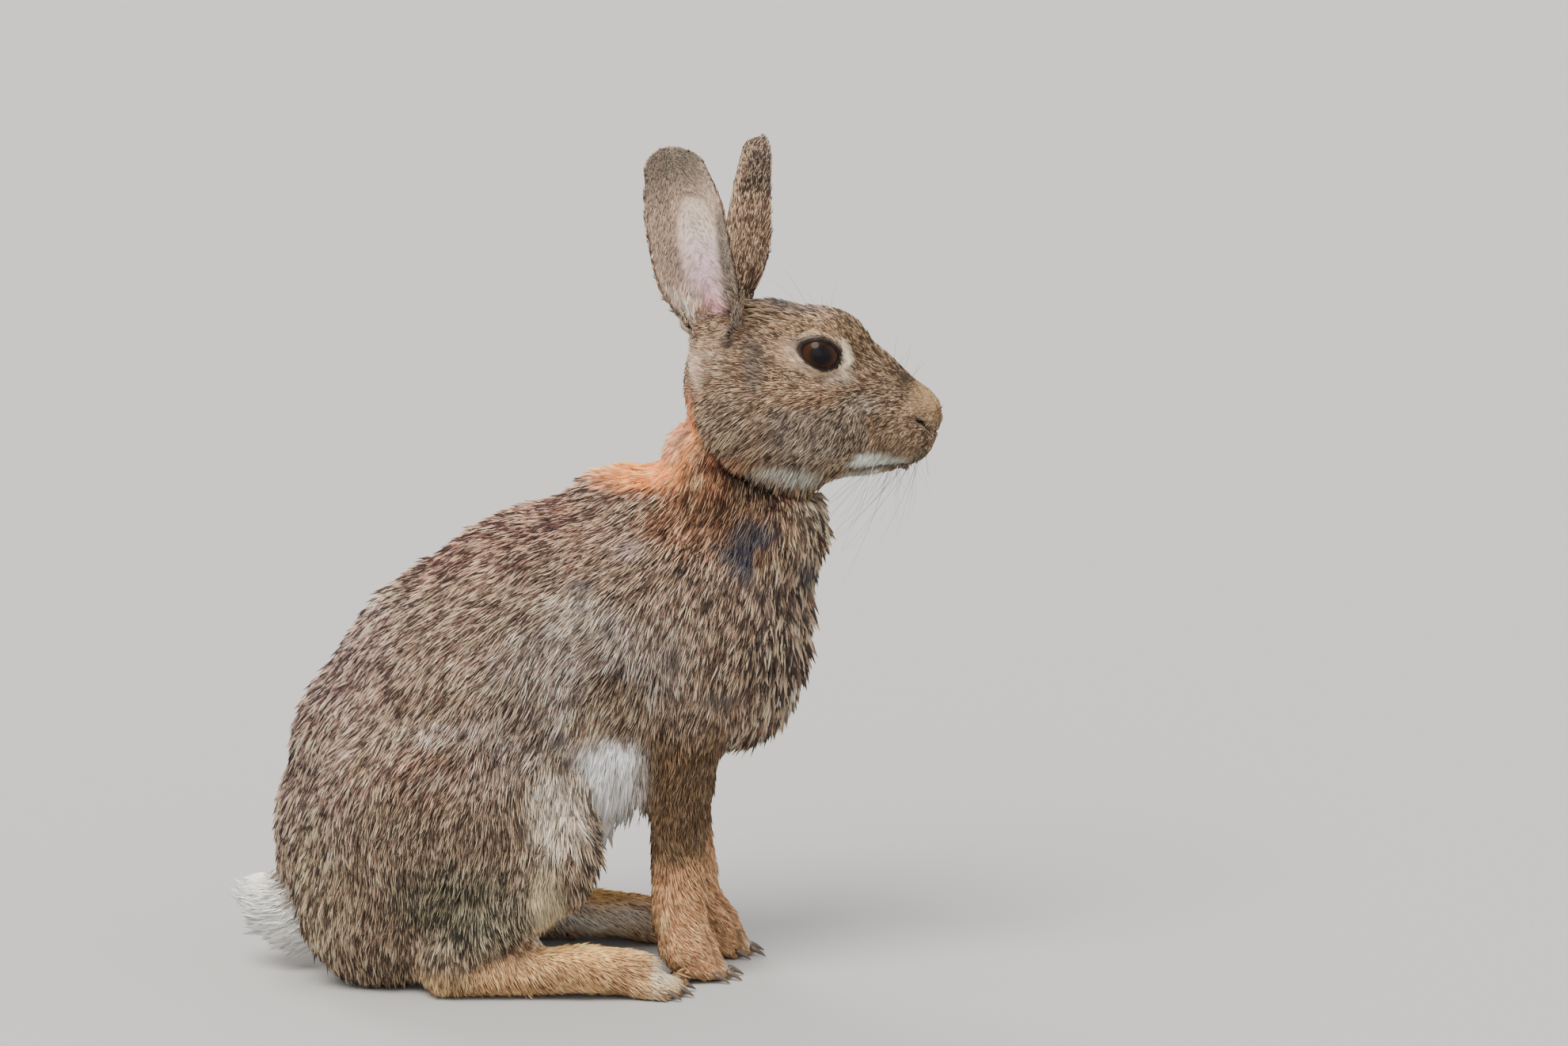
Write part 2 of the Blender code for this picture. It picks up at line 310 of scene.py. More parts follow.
def find_eye(side):
    """The ball, the way it looks, and the directions towards the nose and the crown across it."""
    low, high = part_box(f"eye_{side}")
    centre = np.array((low + high) / 2) / MM
    sign = 1 if side == "left" else -1
    axis = unit((0.16, sign, 0.12))
    ahead = unit(np.array((1.0, 0, 0)) - axis * axis[0])
    up = np.cross(ahead, axis) * -sign
    return Eye(centre, (high.z - low.z) / 2 / MM, axis, ahead, up if up[2] > 0 else -up)


def find_ear(root, tip, facing):
    """An ear runs from its root to its tip, and its hollow looks partly ahead and partly outward."""
    root, tip = np.array(root, float), np.array(tip, float)
    along = unit(tip - root)
    ahead = unit(np.array((1.0, 0, 0)) - along * along[0])
    outward = np.cross(along, ahead)
    outward *= 1 if outward[1] * root[1] > 0 else -1
    hollow = ahead * math.cos(math.radians(facing)) + outward * math.sin(math.radians(facing))
    across = np.cross(along, hollow)
    leads = across[0] if facing > 45 else across[1] * -np.sign(root[1])
    return Ear(root, tip, along, hollow, across, math.copysign(1, leads))


EYES = {side: find_eye(side) for side in ("right", "left")}
EARS = {
    "right": find_ear((45.4, -12, 240), (29.9, -27, 311), 99),
    "left": find_ear((47.9, 12, 240), (62.9, 23, 307), 15),
}
NOSE = np.array((129.0, 0, 207.0))

# A foot: its middle line, how far ahead its longest toe reaches, how wide its toes spread and how high
# their round ends lie.  A toe: how far it lies outward of the middle line, and how much shorter it is.
Foot = namedtuple("Foot", "middle toe_x spread height")
TOES = [(-9.6, 5.5), (-3.4, 0.0), (3.4, 0.6), (9.4, 5.0)]
FOREFOOT_STEP = 8.0  # how far the right forefoot stands behind the left one
FEET = [
    Foot(42.5, 30.9, 1.0, 4.3),
    Foot(-42.5, 30.9, 1.0, 4.3),
    Foot(18.0, 56.9, 0.82, 3.7),
    Foot(-18.0, 56.9 - FOREFOOT_STEP, 0.82, 3.7),
]


def toe_ends():
    """For each toe: the middle of its round end, which way its claw leans, and how round it is."""
    for foot in FEET:
        side = 1 if foot.middle > 0 else -1
        for aside, short in TOES:
            end = Vector((foot.toe_x - short, foot.middle + side * aside * foot.spread, foot.height))
            yield end, Vector((1, 0.25 * side * math.copysign(1, aside), -0.3)).normalized(), foot.height


# ---------------------------------------------------------------- small tools


def make_object(name, bm):
    mesh = bpy.data.meshes.new(name)
    bm.to_mesh(mesh)
    bm.free()
    return put_in_scene(name, mesh)


def settle(obj):
    """Makes the mesh what its modifiers show, and clears them."""
    graph = bpy.context.evaluated_depsgraph_get()
    mesh = bpy.data.meshes.new_from_object(obj.evaluated_get(graph))
    obj.modifiers.clear()
    obj.data = mesh


def modify(obj, kind, **settings):
    """Gives the mesh the shape that one modifier shows."""
    modifier = obj.modifiers.new(kind, kind)
    for name, value in settings.items():
        setattr(modifier, name, value)
    settle(obj)


def read_rows(items, what, width=1, kind=np.float32):
    """A value or a row of values for each vertex, edge, face or loop of a mesh."""
    flat = np.empty(len(items) * width, kind)
    items.foreach_get(what, flat)
    return flat.reshape(-1, width) if width > 1 else flat


def read_points(mesh):
    return read_rows(mesh.vertices, "co", 3).astype(float) / MM


def read_normals(mesh):
    return read_rows(mesh.vertex_normals, "vector", 3).astype(float)


def write_points(mesh, points):
    mesh.vertices.foreach_set("co", (points * MM).astype(np.float32).ravel())
    mesh.update()


def nearest_tree(points):
    tree = KDTree(len(points))
    for index, point in enumerate(points):
        tree.insert(point, index)
    tree.balance()
    return tree


def ease(low, high, value):
    """0 below low, 1 above high, and smooth between."""
    share = np.clip((value - low) / (high - low), 0, 1)
    return share * share * (3 - 2 * share)


def fade(low, high, value):
    """1 below low, 0 above high, and smooth between."""
    return 1 - ease(low, high, value)


def mix(first, second, share):
    """Goes from first to second as share goes from 0 to 1, for values or for rows of three."""
    first, second, share = np.asarray(first), np.asarray(second), np.asarray(share)
    if share.ndim == 1 and (3,) in (first.shape[-1:], second.shape[-1:]):
        share = share[:, None]
    return first * (1 - share) + second * share


def same_side(points, place):
    """True for the points on the same side of the rabbit as a place."""
    return (points[:, 1] > 0) == (place[1] > 0)


def units(vectors):
    return vectors / np.maximum(np.linalg.norm(vectors, axis=1, keepdims=True), 1e-9)


def grain(points, size, seed):
    """Smooth random values from -1 to 1 that change over a given distance."""
    spot = points / size + seed * 17.31
    cell = np.floor(spot)
    part = spot - cell
    part = part * part * (3 - 2 * part)
    total = np.zeros(len(points))
    for corner in range(8):
        step = np.array((corner & 1, corner >> 1 & 1, corner >> 2 & 1))
        value = np.sin((cell + step) @ np.array((12.9898, 78.233, 37.719))) * 43758.5453
        weight = np.prod(np.where(step, part, 1 - part), axis=1)
        total += (2 * (value - np.floor(value)) - 1) * weight
    return total


def spread_from(points, place, reach):
    """How far the points lie from a place, where the reach along each axis counts as 1."""
    return np.linalg.norm((points - np.array(place)) / np.array(reach), axis=1)


def bell(points, place, reach):
    """1 at a place and soon nothing past its reach."""
    off = (points - np.array(place)) / np.array(reach)
    return np.exp(-np.sum(off**2, axis=1))


def distance_to_path(points, path):
    """How far each point lies from a run of straight pieces."""
    nearest = np.full(len(points), 1e9)
    for start, end in zip(path[:-1], path[1:]):
        start, end = np.array(start, float), np.array(end, float)
        step = end - start
        share = np.clip((points - start) @ step / max(step @ step, 1e-9), 0, 1)
        nearest = np.minimum(nearest, np.linalg.norm(points - start - share[:, None] * step, axis=1))
    return nearest


def both_sides(points):
    """The same points folded onto the left side, since most of a rabbit is alike on both.  The right
    forefoot is drawn forward to match the left one."""
    folded = points.copy()
    forefoot = (points[:, 1] < 0) * ease(20, 28, points[:, 0]) * fade(25, 60, points[:, 2])
    folded[:, 0] += FOREFOOT_STEP * forefoot
    folded[:, 1] = np.abs(folded[:, 1])
    return folded


def tube(bm, path, radii, sides, closed=False):
    """A round bar along a path of points, with a radius at each."""
    points = [Vector(point) * MM for point in path]
    last = len(points) - 1
    rings = []
    for index, point in enumerate(points):
        if closed:
            run = points[(index + 1) % len(points)] - points[index - 1]
        else:
            run = points[min(index + 1, last)] - points[max(index - 1, 0)]
        place = Matrix.Translation(point) @ run.to_track_quat("Z", "Y").to_matrix().to_4x4()
        radius = max(radii[index], 0.01) * MM
        ring = bmesh.ops.create_circle(bm, segments=sides, radius=radius, matrix=place)["verts"]
        rings.append(list(dict.fromkeys(edge for vert in ring for edge in vert.link_edges)))
        if index in (0, last) and not closed:
            bm.faces.new(ring)
    pairs = list(zip(rings[:-1], rings[1:]))
    if closed:
        pairs.append((rings[-1], rings[0]))
    for first, second in pairs:
        bmesh.ops.bridge_loops(bm, edges=first + second)


def dress(obj, material, slot, *nodes):
    """Gives a piece its material and its place in the model; the slot is not used."""
    obj.data.materials.clear()
    obj.data.materials.append(material)
    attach(obj, "root")
    if nodes:
        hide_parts(*nodes)


def dress_mesh(name, bm, material, slot, *nodes):
    """Makes a whole piece, smooth and dressed, of a mesh in work."""
    bmesh.ops.recalc_face_normals(bm, faces=bm.faces)
    obj = make_object(name, bm)
    obj.data.shade_smooth()
    dress(obj, material, slot, *nodes)


# ---------------------------------------------------------------- the skin

FLESH = sorted(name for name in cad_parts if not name.startswith("eye"))
REGIONS = sorted({name.split("_")[0] for name in FLESH})
SEAM = 0.55  # how far each solid is swollen, to close the thin cuts between them
SKIN_VOXEL = 0.85
SKIN_FACES = 70000

# How the coat grows on each kind of node: its depth over the skin, and the length, width and lift of
# its tufts, in millimetres and degrees, and how much it hangs.
Growth = namedtuple("Growth", "depth length width lift hang", defaults=[0])
GROWTH = {
    "head": Growth(1.5, 3.6, 0.24, 10),
    "neck": Growth(3.2, 9.0, 0.40, 23),
    "trunk": Growth(3.2, 6.4, 0.35, 14),
    "tail": Growth(4.0, 9.5, 0.38, 30),
    "ear": Growth(0.25, 2.8, 0.20, 9),
    "foreleg": Growth(1.8, 4.6, 0.30, 12),
    "forepaw": Growth(1.2, 3.4, 0.26, 11),
    "hindleg": Growth(3.0, 6.4, 0.35, 15),
    "hindfoot": Growth(1.3, 4.2, 0.28, 12),
}


def join_flesh():
    """All the solids of flesh in one mesh, each merged and a little swollen."""
    bm = bmesh.new()
    for name in FLESH:
        before = len(bm.verts)
        bm.from_mesh(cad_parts[name].data)
        bm.verts.ensure_lookup_table()
        fresh = bm.verts[before:]
        bmesh.ops.remove_doubles(bm, verts=fresh, dist=1e-6)
    blunt_toes(bm)
    for eye in EYES.values():
        place = Matrix.Translation(Vector(eye.centre) * MM)
        bmesh.ops.create_icosphere(bm, subdivisions=4, radius=(eye.radius - 1.2) * MM, matrix=place)
    bm.normal_update()
    for vert in bm.verts:
        vert.co += vert.normal * SEAM * MM
    return make_object("skin", bm)


def blunt_toes(bm):
    """Draws the solids' own claws back into the toes, for claws of horn to take their place."""
    for end, lean, round_end in toe_ends():
        for vert in bm.verts:
            off = vert.co / MM - end
            along = off.dot(lean)
            if along > round_end - 0.5 and (off - lean * along).length < 2.0:
                vert.co -= lean * (along - round_end + 0.5) * MM


def rough_skin():
    """One closed surface over the whole body, with the solids' facets smoothed away."""
    obj = join_flesh()
    modify(obj, "REMESH", mode="VOXEL", voxel_size=SKIN_VOXEL * MM)
    points = read_points(obj.data)
    face = ease(175, 196, points[:, 2]) * ease(30, 45, points[:, 0])
    ears = ease(246, 256, points[:, 2])
    feet = fade(22, 45, points[:, 2])
    weigh(obj, "calm", 1 - np.maximum(0.62 * face, np.maximum(0.93 * ears, 0.74 * feet)))
    modify(obj, "SMOOTH", factor=0.5, iterations=90, vertex_group="calm")
    weigh(obj, "plain", 1 - np.maximum(0.9 * face, np.maximum(0.75 * ears, 0.6 * feet)))
    ratio = SKIN_FACES / (2 * len(obj.data.polygons))
    modify(obj, "DECIMATE", ratio=ratio, vertex_group="plain", vertex_group_factor=0.15)
    bm = bmesh.new()
    bm.from_mesh(obj.data)
    split_long_edges(bm)
    smooth_facets(bm)
    draw_out_folds(bm)
    refine_features(bm)
    bm.to_mesh(obj.data)
    bm.free()
    return obj


def weigh(obj, name, weights):
    group = obj.vertex_groups.new(name=name)
    for index, weight in enumerate(weights):
        group.add([index], float(weight), "REPLACE")


LONGEST_EDGE = 2.6
SPLIT_PASSES = 20
SHARPEST_BEND = 0.9  # radians between two faces of the smooth skin: past it they are a fold
FOLD_PASSES = 14
ALL_WAYS = {"use_axis_x": True, "use_axis_y": True, "use_axis_z": True}


def split_long_edges(bm):
    """Thinning leaves large faces where the skin is smooth: each is halved over its longest edge, and
    again."""
    for _ in range(SPLIT_PASSES):
        lengths = {edge: edge.calc_length() for edge in bm.edges}
        longest = {face: max(face.edges, key=lengths.get) for face in bm.faces}
        long = [
            edge
            for edge, length in lengths.items()
            if length > LONGEST_EDGE * MM and all(longest[face] == edge for face in edge.link_faces)
        ]
        if not long:
            break
        bmesh.ops.subdivide_edges(bm, edges=long, cuts=1, use_single_edge=True)


def on_body(vert):
    """True between the feet and the ears, which are too thin to be smoothed."""
    return 20 * MM < vert.co.z < 240 * MM


def smooth_facets(bm):
    """Takes the last facets out of the body, and the face's a little."""
    face = [vert for vert in bm.verts if 178 * MM < vert.co.z < 252 * MM and vert.co.x > 44 * MM]
    in_face = set(face)
    body = [vert for vert in bm.verts if on_body(vert) and vert not in in_face]
    for verts, passes, factor in ((body, 4, 0.5), (face, 2, 0.3)):
        for _ in range(passes):
            bmesh.ops.smooth_vert(bm, verts=verts, factor=factor, **ALL_WAYS)


def draw_out_folds(bm):
    """Smooths the skin round each edge where it is folded over, until none is left."""
    for _ in range(FOLD_PASSES):
        folded = [edge for edge in bm.edges if edge.is_manifold and edge.calc_face_angle() > SHARPEST_BEND]
        ends = {vert for edge in folded for vert in edge.verts if on_body(vert)}
        if not ends:
            break
        around = ends | {edge.other_vert(vert) for vert in ends for edge in vert.link_edges}
        bmesh.ops.smooth_vert(bm, verts=list(around), factor=0.5, **ALL_WAYS)


def near_features(point):
    """True round the eyes, the nostrils and the mouth, where the skin has its finest folds."""
    for eye in EYES.values():
        if (point - Vector(eye.centre)).length < eye.radius + 3.2 and abs(point.y) > 14:
            return True
    return point.x > 113 and 188 < point.z < 211 and abs(point.y) < 9


def refine_features(bm):
    """Gives the places with the finest folds a finer mesh."""
    for _ in range(2):
        near = [edge for edge in bm.edges if all(near_features(vert.co / MM) for vert in edge.verts)]
        bmesh.ops.subdivide_edges(bm, edges=near, cuts=1, use_grid_fill=True, smooth=0.35)


# Small corrections to the form, mostly of the face: how far the skin moves near a place.
Nudge = namedtuple("Nudge", "name place reach move")
NUDGES = [
    Nudge("forehead", (96, 4, 242), (20, 17, 12), (0.8, 0, 1.8)),
    Nudge("nose tip", (128, 0, 208), (7, 9, 8), (1.3, 0, 0)),
    Nudge("upper lip", (127, 0, 192), (8, 14, 6), (-1.0, 0, 1.2)),
    Nudge("chin tip", (119, 0, 187), (6, 10, 4), (-2.6, 0, 0.6)),
    Nudge("jaw", (62, 20, 183), (30, 18, 9), (0, -1.5, 4.2)),
    Nudge("brow", (84, 17, 243.5), (9, 6, 3.5), (0, 0.9, 0.5)),
    Nudge("far ear tip", (64, 23, 308), (4, 9, 5), (-2.0, 0, -1.2)),
    Nudge("far ear tip, behind", (56, 22, 302), (4, 9, 5), (-2.2, 0, 2.2)),
    Nudge("near ear tip, behind", (22, 27, 306), (6, 9, 6), (-2.2, 0, 2.2)),
    Nudge("near ear tip, ahead", (37, 27, 306), (5, 9, 5), (1.2, 0, 1.6)),
    Nudge("ear foot", (59, 12, 253), (7, 8, 9), (2.8, 0, 0)),
    Nudge("nape", (36, 0, 212), (12, 26, 18), (-3.5, 0, 0)),
    Nudge("hind toes", (26, 43, 10), (8, 16, 6), (1.0, 0, 3.0)),
    Nudge("cheek bone", (94, 18, 222), (10, 7, 5), (0, 0.8, 0)),
]


def nudge(points):
    folded = both_sides(points)
    side = np.where(points[:, 1:2] < 0, (1, -1, 1), (1, 1, 1))
    moved = points.copy()
    for change in NUDGES:
        moved += side * np.array(change.move) * bell(folded, change.place, change.reach)[:, None]
    return moved


BLEND_PASSES = 7


def find_regions(points, mesh):
    """How much each kind of node holds each point of the skin, blended across the borders."""
    corners, faces, owner = [], [], []
    for name in FLESH:
        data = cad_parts[name].data
        first = len(corners)
        corners += [vert.co / MM for vert in data.vertices]
        for polygon in data.polygons:
            faces.append([first + index for index in polygon.vertices])
            owner.append(REGIONS.index(name.split("_")[0]))
    tree = BVHTree.FromPolygons(corners, faces)
    share = np.zeros((len(points), len(REGIONS)))
    for index, point in enumerate(points):
        share[index, owner[tree.find_nearest(point)[2]]] = 1
    edges = read_rows(mesh.edges, "vertices", 2, np.int32)
    ends = np.concatenate([edges, edges[:, ::-1]])
    near = np.bincount(ends[:, 0], minlength=len(points))
    for _ in range(BLEND_PASSES):
        for column in range(share.shape[1]):
            total = np.bincount(ends[:, 0], weights=share[ends[:, 1], column], minlength=len(points))
            share[:, column] = 0.5 * share[:, column] + 0.5 * total / np.maximum(near, 1)
    return {region: share[:, column] for column, region in enumerate(REGIONS)}


def ear_places(points, ear):
    """How far along an ear the points lie, from 0 at its root to 1 at its tip, and how far across."""
    off = points - ear.root
    return off @ ear.along / np.linalg.norm(ear.tip - ear.root), off @ ear.across


def ear_hollow(points, normals, regions):
    """1 on the inner side of the ears, 0 elsewhere."""
    inner = np.zeros(len(points))
    for ear in EARS.values():
        inner = np.where(same_side(points, ear.root), ease(0.1, 0.45, normals @ ear.hollow), inner)
    return inner * ease(0.4, 0.8, regions["ear"])


# How the growth varies inside a node.  Each change reaches an ellipsoid's distance from its place, on
# both sides, and draws the values there towards its own.
Change = namedtuple("Change", "name place reach values nodes", defaults=[()])
CHANGES = [
    Change("bridge", (118, 0, 213), (20, 14, 17), {"length": 1.9, "depth": 0.8, "lift": 7, "width": 0.19}),
    Change("muzzle", (118, 6, 198), (16, 10, 12), {"length": 2.6, "depth": 0.9, "width": 0.22}),
    Change("lips", (124, 0, 198), (9, 8, 12), {"length": 1.3, "depth": 0.4, "lift": 7}),
    Change("chin tip", (114, 0, 187), (9, 9, 6), {"length": 1.9}),
    Change("cheek", (76, 24, 200), (26, 14, 18), {"length": 4.8}),
    Change("lid side", (84, 19, 233), (10, 12, 9), {"length": 1.6}),
    Change("eye side", (84, 20, 234), (17, 14, 16), {"length": 2.6, "width": 0.22, "depth": 0.9}),
    Change("crown", (66, 0, 250), (20, 16, 12), {"length": 5.2}),
    Change("jaw edge", (66, 17, 186), (34, 16, 9), {"length": 8.5, "lift": 26}),
    Change("jowl", (55, 22, 198), (20, 14, 20), {"length": 6.0}),
    Change("hind toes", (27, 43, 7), (17, 17, 10), {"length": 2.6, "width": 0.24, "lift": 8}),
    Change("fore toes", (52, 18, 7), (17, 15, 10), {"length": 2.4, "width": 0.22, "lift": 8}),
    Change("breast", (70, 10, 125), (30, 34, 40), {"length": 10.0}),
    Change("breast front", (72, 10, 125), (30, 34, 40), {"depth": 5.0, "lift": 22}),
    Change("nape", (20, 0, 190), (30, 24, 14), {"length": 8.5, "lift": 19}),
    Change("flank", (5, 46, 105), (48, 26, 32), {"length": 7.6, "lift": 18}),
    Change("thigh front", (-6, 50, 58), (16, 18, 26), {"length": 8.0, "lift": 15}),
    Change("belly", (8, 20, 66), (42, 36, 24), {"length": 15.0, "lift": 26, "depth": 5.0}, ("trunk",)),
    Change("belly fringe", (10, 24, 74), (42, 36, 24), {"hang": 0.9}, ("trunk",)),
    Change("jaw fringe", (62, 17, 189), (34, 16, 10), {"hang": 1.0}),
    Change("breast fringe", (72, 10, 108), (28, 34, 26), {"hang": 0.35}),
    Change("collar", (62, 14, 181), (18, 16, 8), {"length": 5.5}, ("neck",)),
    Change("throat", (80, 0, 176), (16, 22, 10), {"hang": 0.5}),
]


def grow_values(points, regions):
    """The growth of the coat at each point, blended from the nodes and the changes inside them."""
    total = sum(regions.values())
    values = {}
    for what in Growth._fields:
        values[what] = sum(share * getattr(GROWTH[name], what) for name, share in regions.items()) / total
    folded = both_sides(points)
    for change in CHANGES:
        share = fade(0.55, 1.15, spread_from(folded, change.place, change.reach))
        if change.nodes:
            share *= sum(regions[name] for name in change.nodes) / total
        for what, value in change.values.items():
            values[what] = mix(values[what], value, share)
    return values


def lengthen_ears(growth, points, regions, hollow):
    """Longer hair in the foot of each ear, which hides where it opens, and close hair at its tip."""
    for ear in EARS.values():
        along, across = ear_places(points, ear)
        here = same_side(points, ear.root) * ease(0.3, 0.7, regions["ear"])
        foot = hollow * fade(0.12, 0.34, along) * ease(1.5, 5.0, np.abs(across - 1.4 * ear.front))
        growth["length"] = growth["length"] + here * (3.2 * foot - 1.1 * ease(0.6, 0.9, along))
        growth["lift"] = growth["lift"] + here * 6 * foot


# Where the face, the collar and the toes have creases: paths on the left side, how wide and deep each
# is pressed in, how dark its painted shade is, and from which way it is laid on the skin.
Crease = namedtuple("Crease", "name path width depth dark seen", defaults=[0, (0, 1, 0)])
CREASES = [
    Crease("nostril", [(120.4, 0, 207.5), (122.6, 0, 206.2), (124.4, 0, 203.4)], 1.15, 2.4, 1),
    Crease("nostril wing", [(119.6, 0, 209.6), (117.4, 0, 206.5), (118.5, 0, 203.0)], 1.3, 0.7),
    Crease("philtrum", [(140, 0, 203.5), (140, 0, 199.0), (140, 0, 194.5)], 0.6, 0.8, 0.8, (1, 0, 0)),
    Crease("nostril join", [(140, 3.2, 202.9), (140, 0, 202.0)], 0.7, 0.8, 0.9, (1, 0, 0)),
    Crease("mouth", [(115.5, 0, 192.0), (109, 0, 191.1), (102, 0, 190.0), (94, 0, 188.6)], 0.9, 1.4, 0.9),
    Crease("whisker bed", [(113.0, 0, 207.5), (104.0, 0, 204.0), (99.0, 0, 197.0)], 2.4, 0.7),
    Crease("tear line", [(91.5, 0, 228.5), (96.0, 0, 224.5), (101.0, 0, 220.0)], 1.5, 0.5),
    Crease(
        "collar",
        [(37, 0, 206), (44, 0, 198.5), (52, 0, 192), (60, 0, 187.5), (70, 0, 182.5), (82, 0, 179.5)],
        2.8,
        2.6,
    ),
]
for foot in (FEET[0], FEET[2]):
    far = foot.toe_x + 0.6
    for gap in (-6.5, 0.0, 6.4):
        aside = foot.middle + gap * foot.spread
        path = [(far - 19, aside, 20), (far - 6, aside, 14), (far, aside, 4)]
        CREASES.append(Crease("between toes", path, 0.9, 1.3, 0.6, (0.6, 0, 0.8)))


def lay_creases(points, faces):
    """The same creases with their paths laid on the skin, so that they follow it."""
    tree = BVHTree.FromPolygons(points.tolist(), faces.tolist())
    laid = []
    for crease in CREASES:
        path = []
        for start, end in zip(crease.path[:-1], crease.path[1:]):
            path += [Vector(start).lerp(Vector(end), step / 3) for step in range(4)]
        seen = Vector(crease.seen)
        hits = [tree.ray_cast(point + seen * 60, -seen)[0] for point in path]
        laid.append(crease._replace(path=[hit for hit in hits if hit]))
    return laid


def near_claws(points):
    """1 where the claws grow out of the toes, 0 elsewhere."""
    nearest = np.full(len(points), 1e9)
    for end, lean, round_end in toe_ends():
        path = [end + lean * (round_end + reach) for reach in (-0.5, 3)]
        nearest = np.minimum(nearest, distance_to_path(points, path))
    return fade(1.3, 2.1, nearest)


def crease_shade(points, creases):
    """How dark (painted shade) and how bare the creases leave each point of the skin, before they are pressed
    in.
    """
    folded = both_sides(points)
    dark, slit = np.zeros(len(points)), np.zeros(len(points))
    for crease in creases:
        off = distance_to_path(folded, crease.path) / crease.width
        dark = np.maximum(dark, crease.dark * fade(0.7, 1.7, off))
        slit = np.maximum(slit, crease.dark * fade(0.6, 1.5, off))
    return dark, slit


def painted_jaw_shadow(points, regions, creases):
    """Where the neck lies under the head: painted shade that makes the hair there black up to its tip."""
    collar = next(crease.path for crease in creases if crease.name == "collar")
    near = fade(2.5, 6.5, distance_to_path(both_sides(points), collar))
    return near * fade(0.35, 0.65, regions["head"]) * fade(64, 74, points[:, 0])


def press_creases(points, normals, creases):
    """Presses each crease into the skin as a round groove."""
    folded = both_sides(points)
    for crease in creases:
        off = distance_to_path(folded, crease.path)
        points = points - normals * (crease.depth * np.exp(-((off / crease.width) ** 2)))[:, None]
    return points


LID_HALF_WIDTH = 0.78  # half the eye's opening, as a share of the ball's radius
LID_HALF_HEIGHT = 0.62


def lid_opening(eye, points):
    """Across the ball: below 1 inside the opening between the lids, and 1 along their edge."""
    outward = units(points - eye.centre)
    across, rise = outward @ eye.ahead, outward @ eye.up
    corner = 1 + 0.10 * ease(0.3, 0.8, across) + 0.07 * ease(0.3, 0.8, -across)
    tilt = rise + 0.17 * across
    reach = (np.abs(across) / (LID_HALF_WIDTH * corner)) ** 1.8 + (np.abs(tilt) / LID_HALF_HEIGHT) ** 2
    return np.where(outward @ eye.axis > 0, reach, 9.0)


def shape_lids(points):
    """Sinks the skin behind the ball in the opening, and lays it over the ball as lids round it."""
    for eye in EYES.values():
        off = points - eye.centre
        far = np.linalg.norm(off, axis=1)
        near = (far < eye.radius + 9) & (off @ eye.axis > -2)
        opening = lid_opening(eye, points)
        outward = units(off)
        upper = ease(-0.2, 0.5, outward @ eye.up)
        lid = eye.radius + 0.75 + 0.55 * upper
        wrap = fade(1.3, 2.6, opening)
        wanted = np.where(opening < 1, eye.radius - 1.0, mix(far, np.maximum(far, lid), wrap))
        wanted = mix(far, wanted, ease(0.0, 1.0, (eye.radius + 9 - far) / 5.0))
        points = np.where(near[:, None], eye.centre + outward * wanted[:, None], points)
    return points


def shape_ears(points, normals, regions):
    """Works a ridge into each ear, that runs up from the notch at its root, a pocket behind it, and a
    rim that stands forward and outward round the hollow."""
    for ear in EARS.values():
        along, across = ear_places(points, ear)
        here = same_side(points, ear.root) & (regions["ear"] > 0.5)
        inner = ease(0.2, 0.6, normals @ ear.hollow)
        ridge = np.exp(-(((across - 2.0 + 6 * along) / 1.6) ** 2))
        ridge *= ease(0.02, 0.14, along) * fade(0.25, 0.5, along)
        pocket = np.exp(-(((across + 3.5) / 2.6) ** 2)) * fade(0.1, 0.36, along)
        lift = np.where(here, inner * (0.9 * ridge - 0.5 * pocket), 0)
        points = points + normals * lift[:, None]
        past = np.maximum(along - 0.78, 0) * np.linalg.norm(ear.tip - ear.root)
        out = np.hypot(across, past)
        outward = (across[:, None] * ear.across + past[:, None] * ear.along) / np.maximum(out, 1)[:, None]
        rim = here * ease(3.0, 13.0, out) * ease(0.05, 0.3, along)
        points = points + rim[:, None] * (ear.hollow * 2.4 + outward * 1.6)
    return points


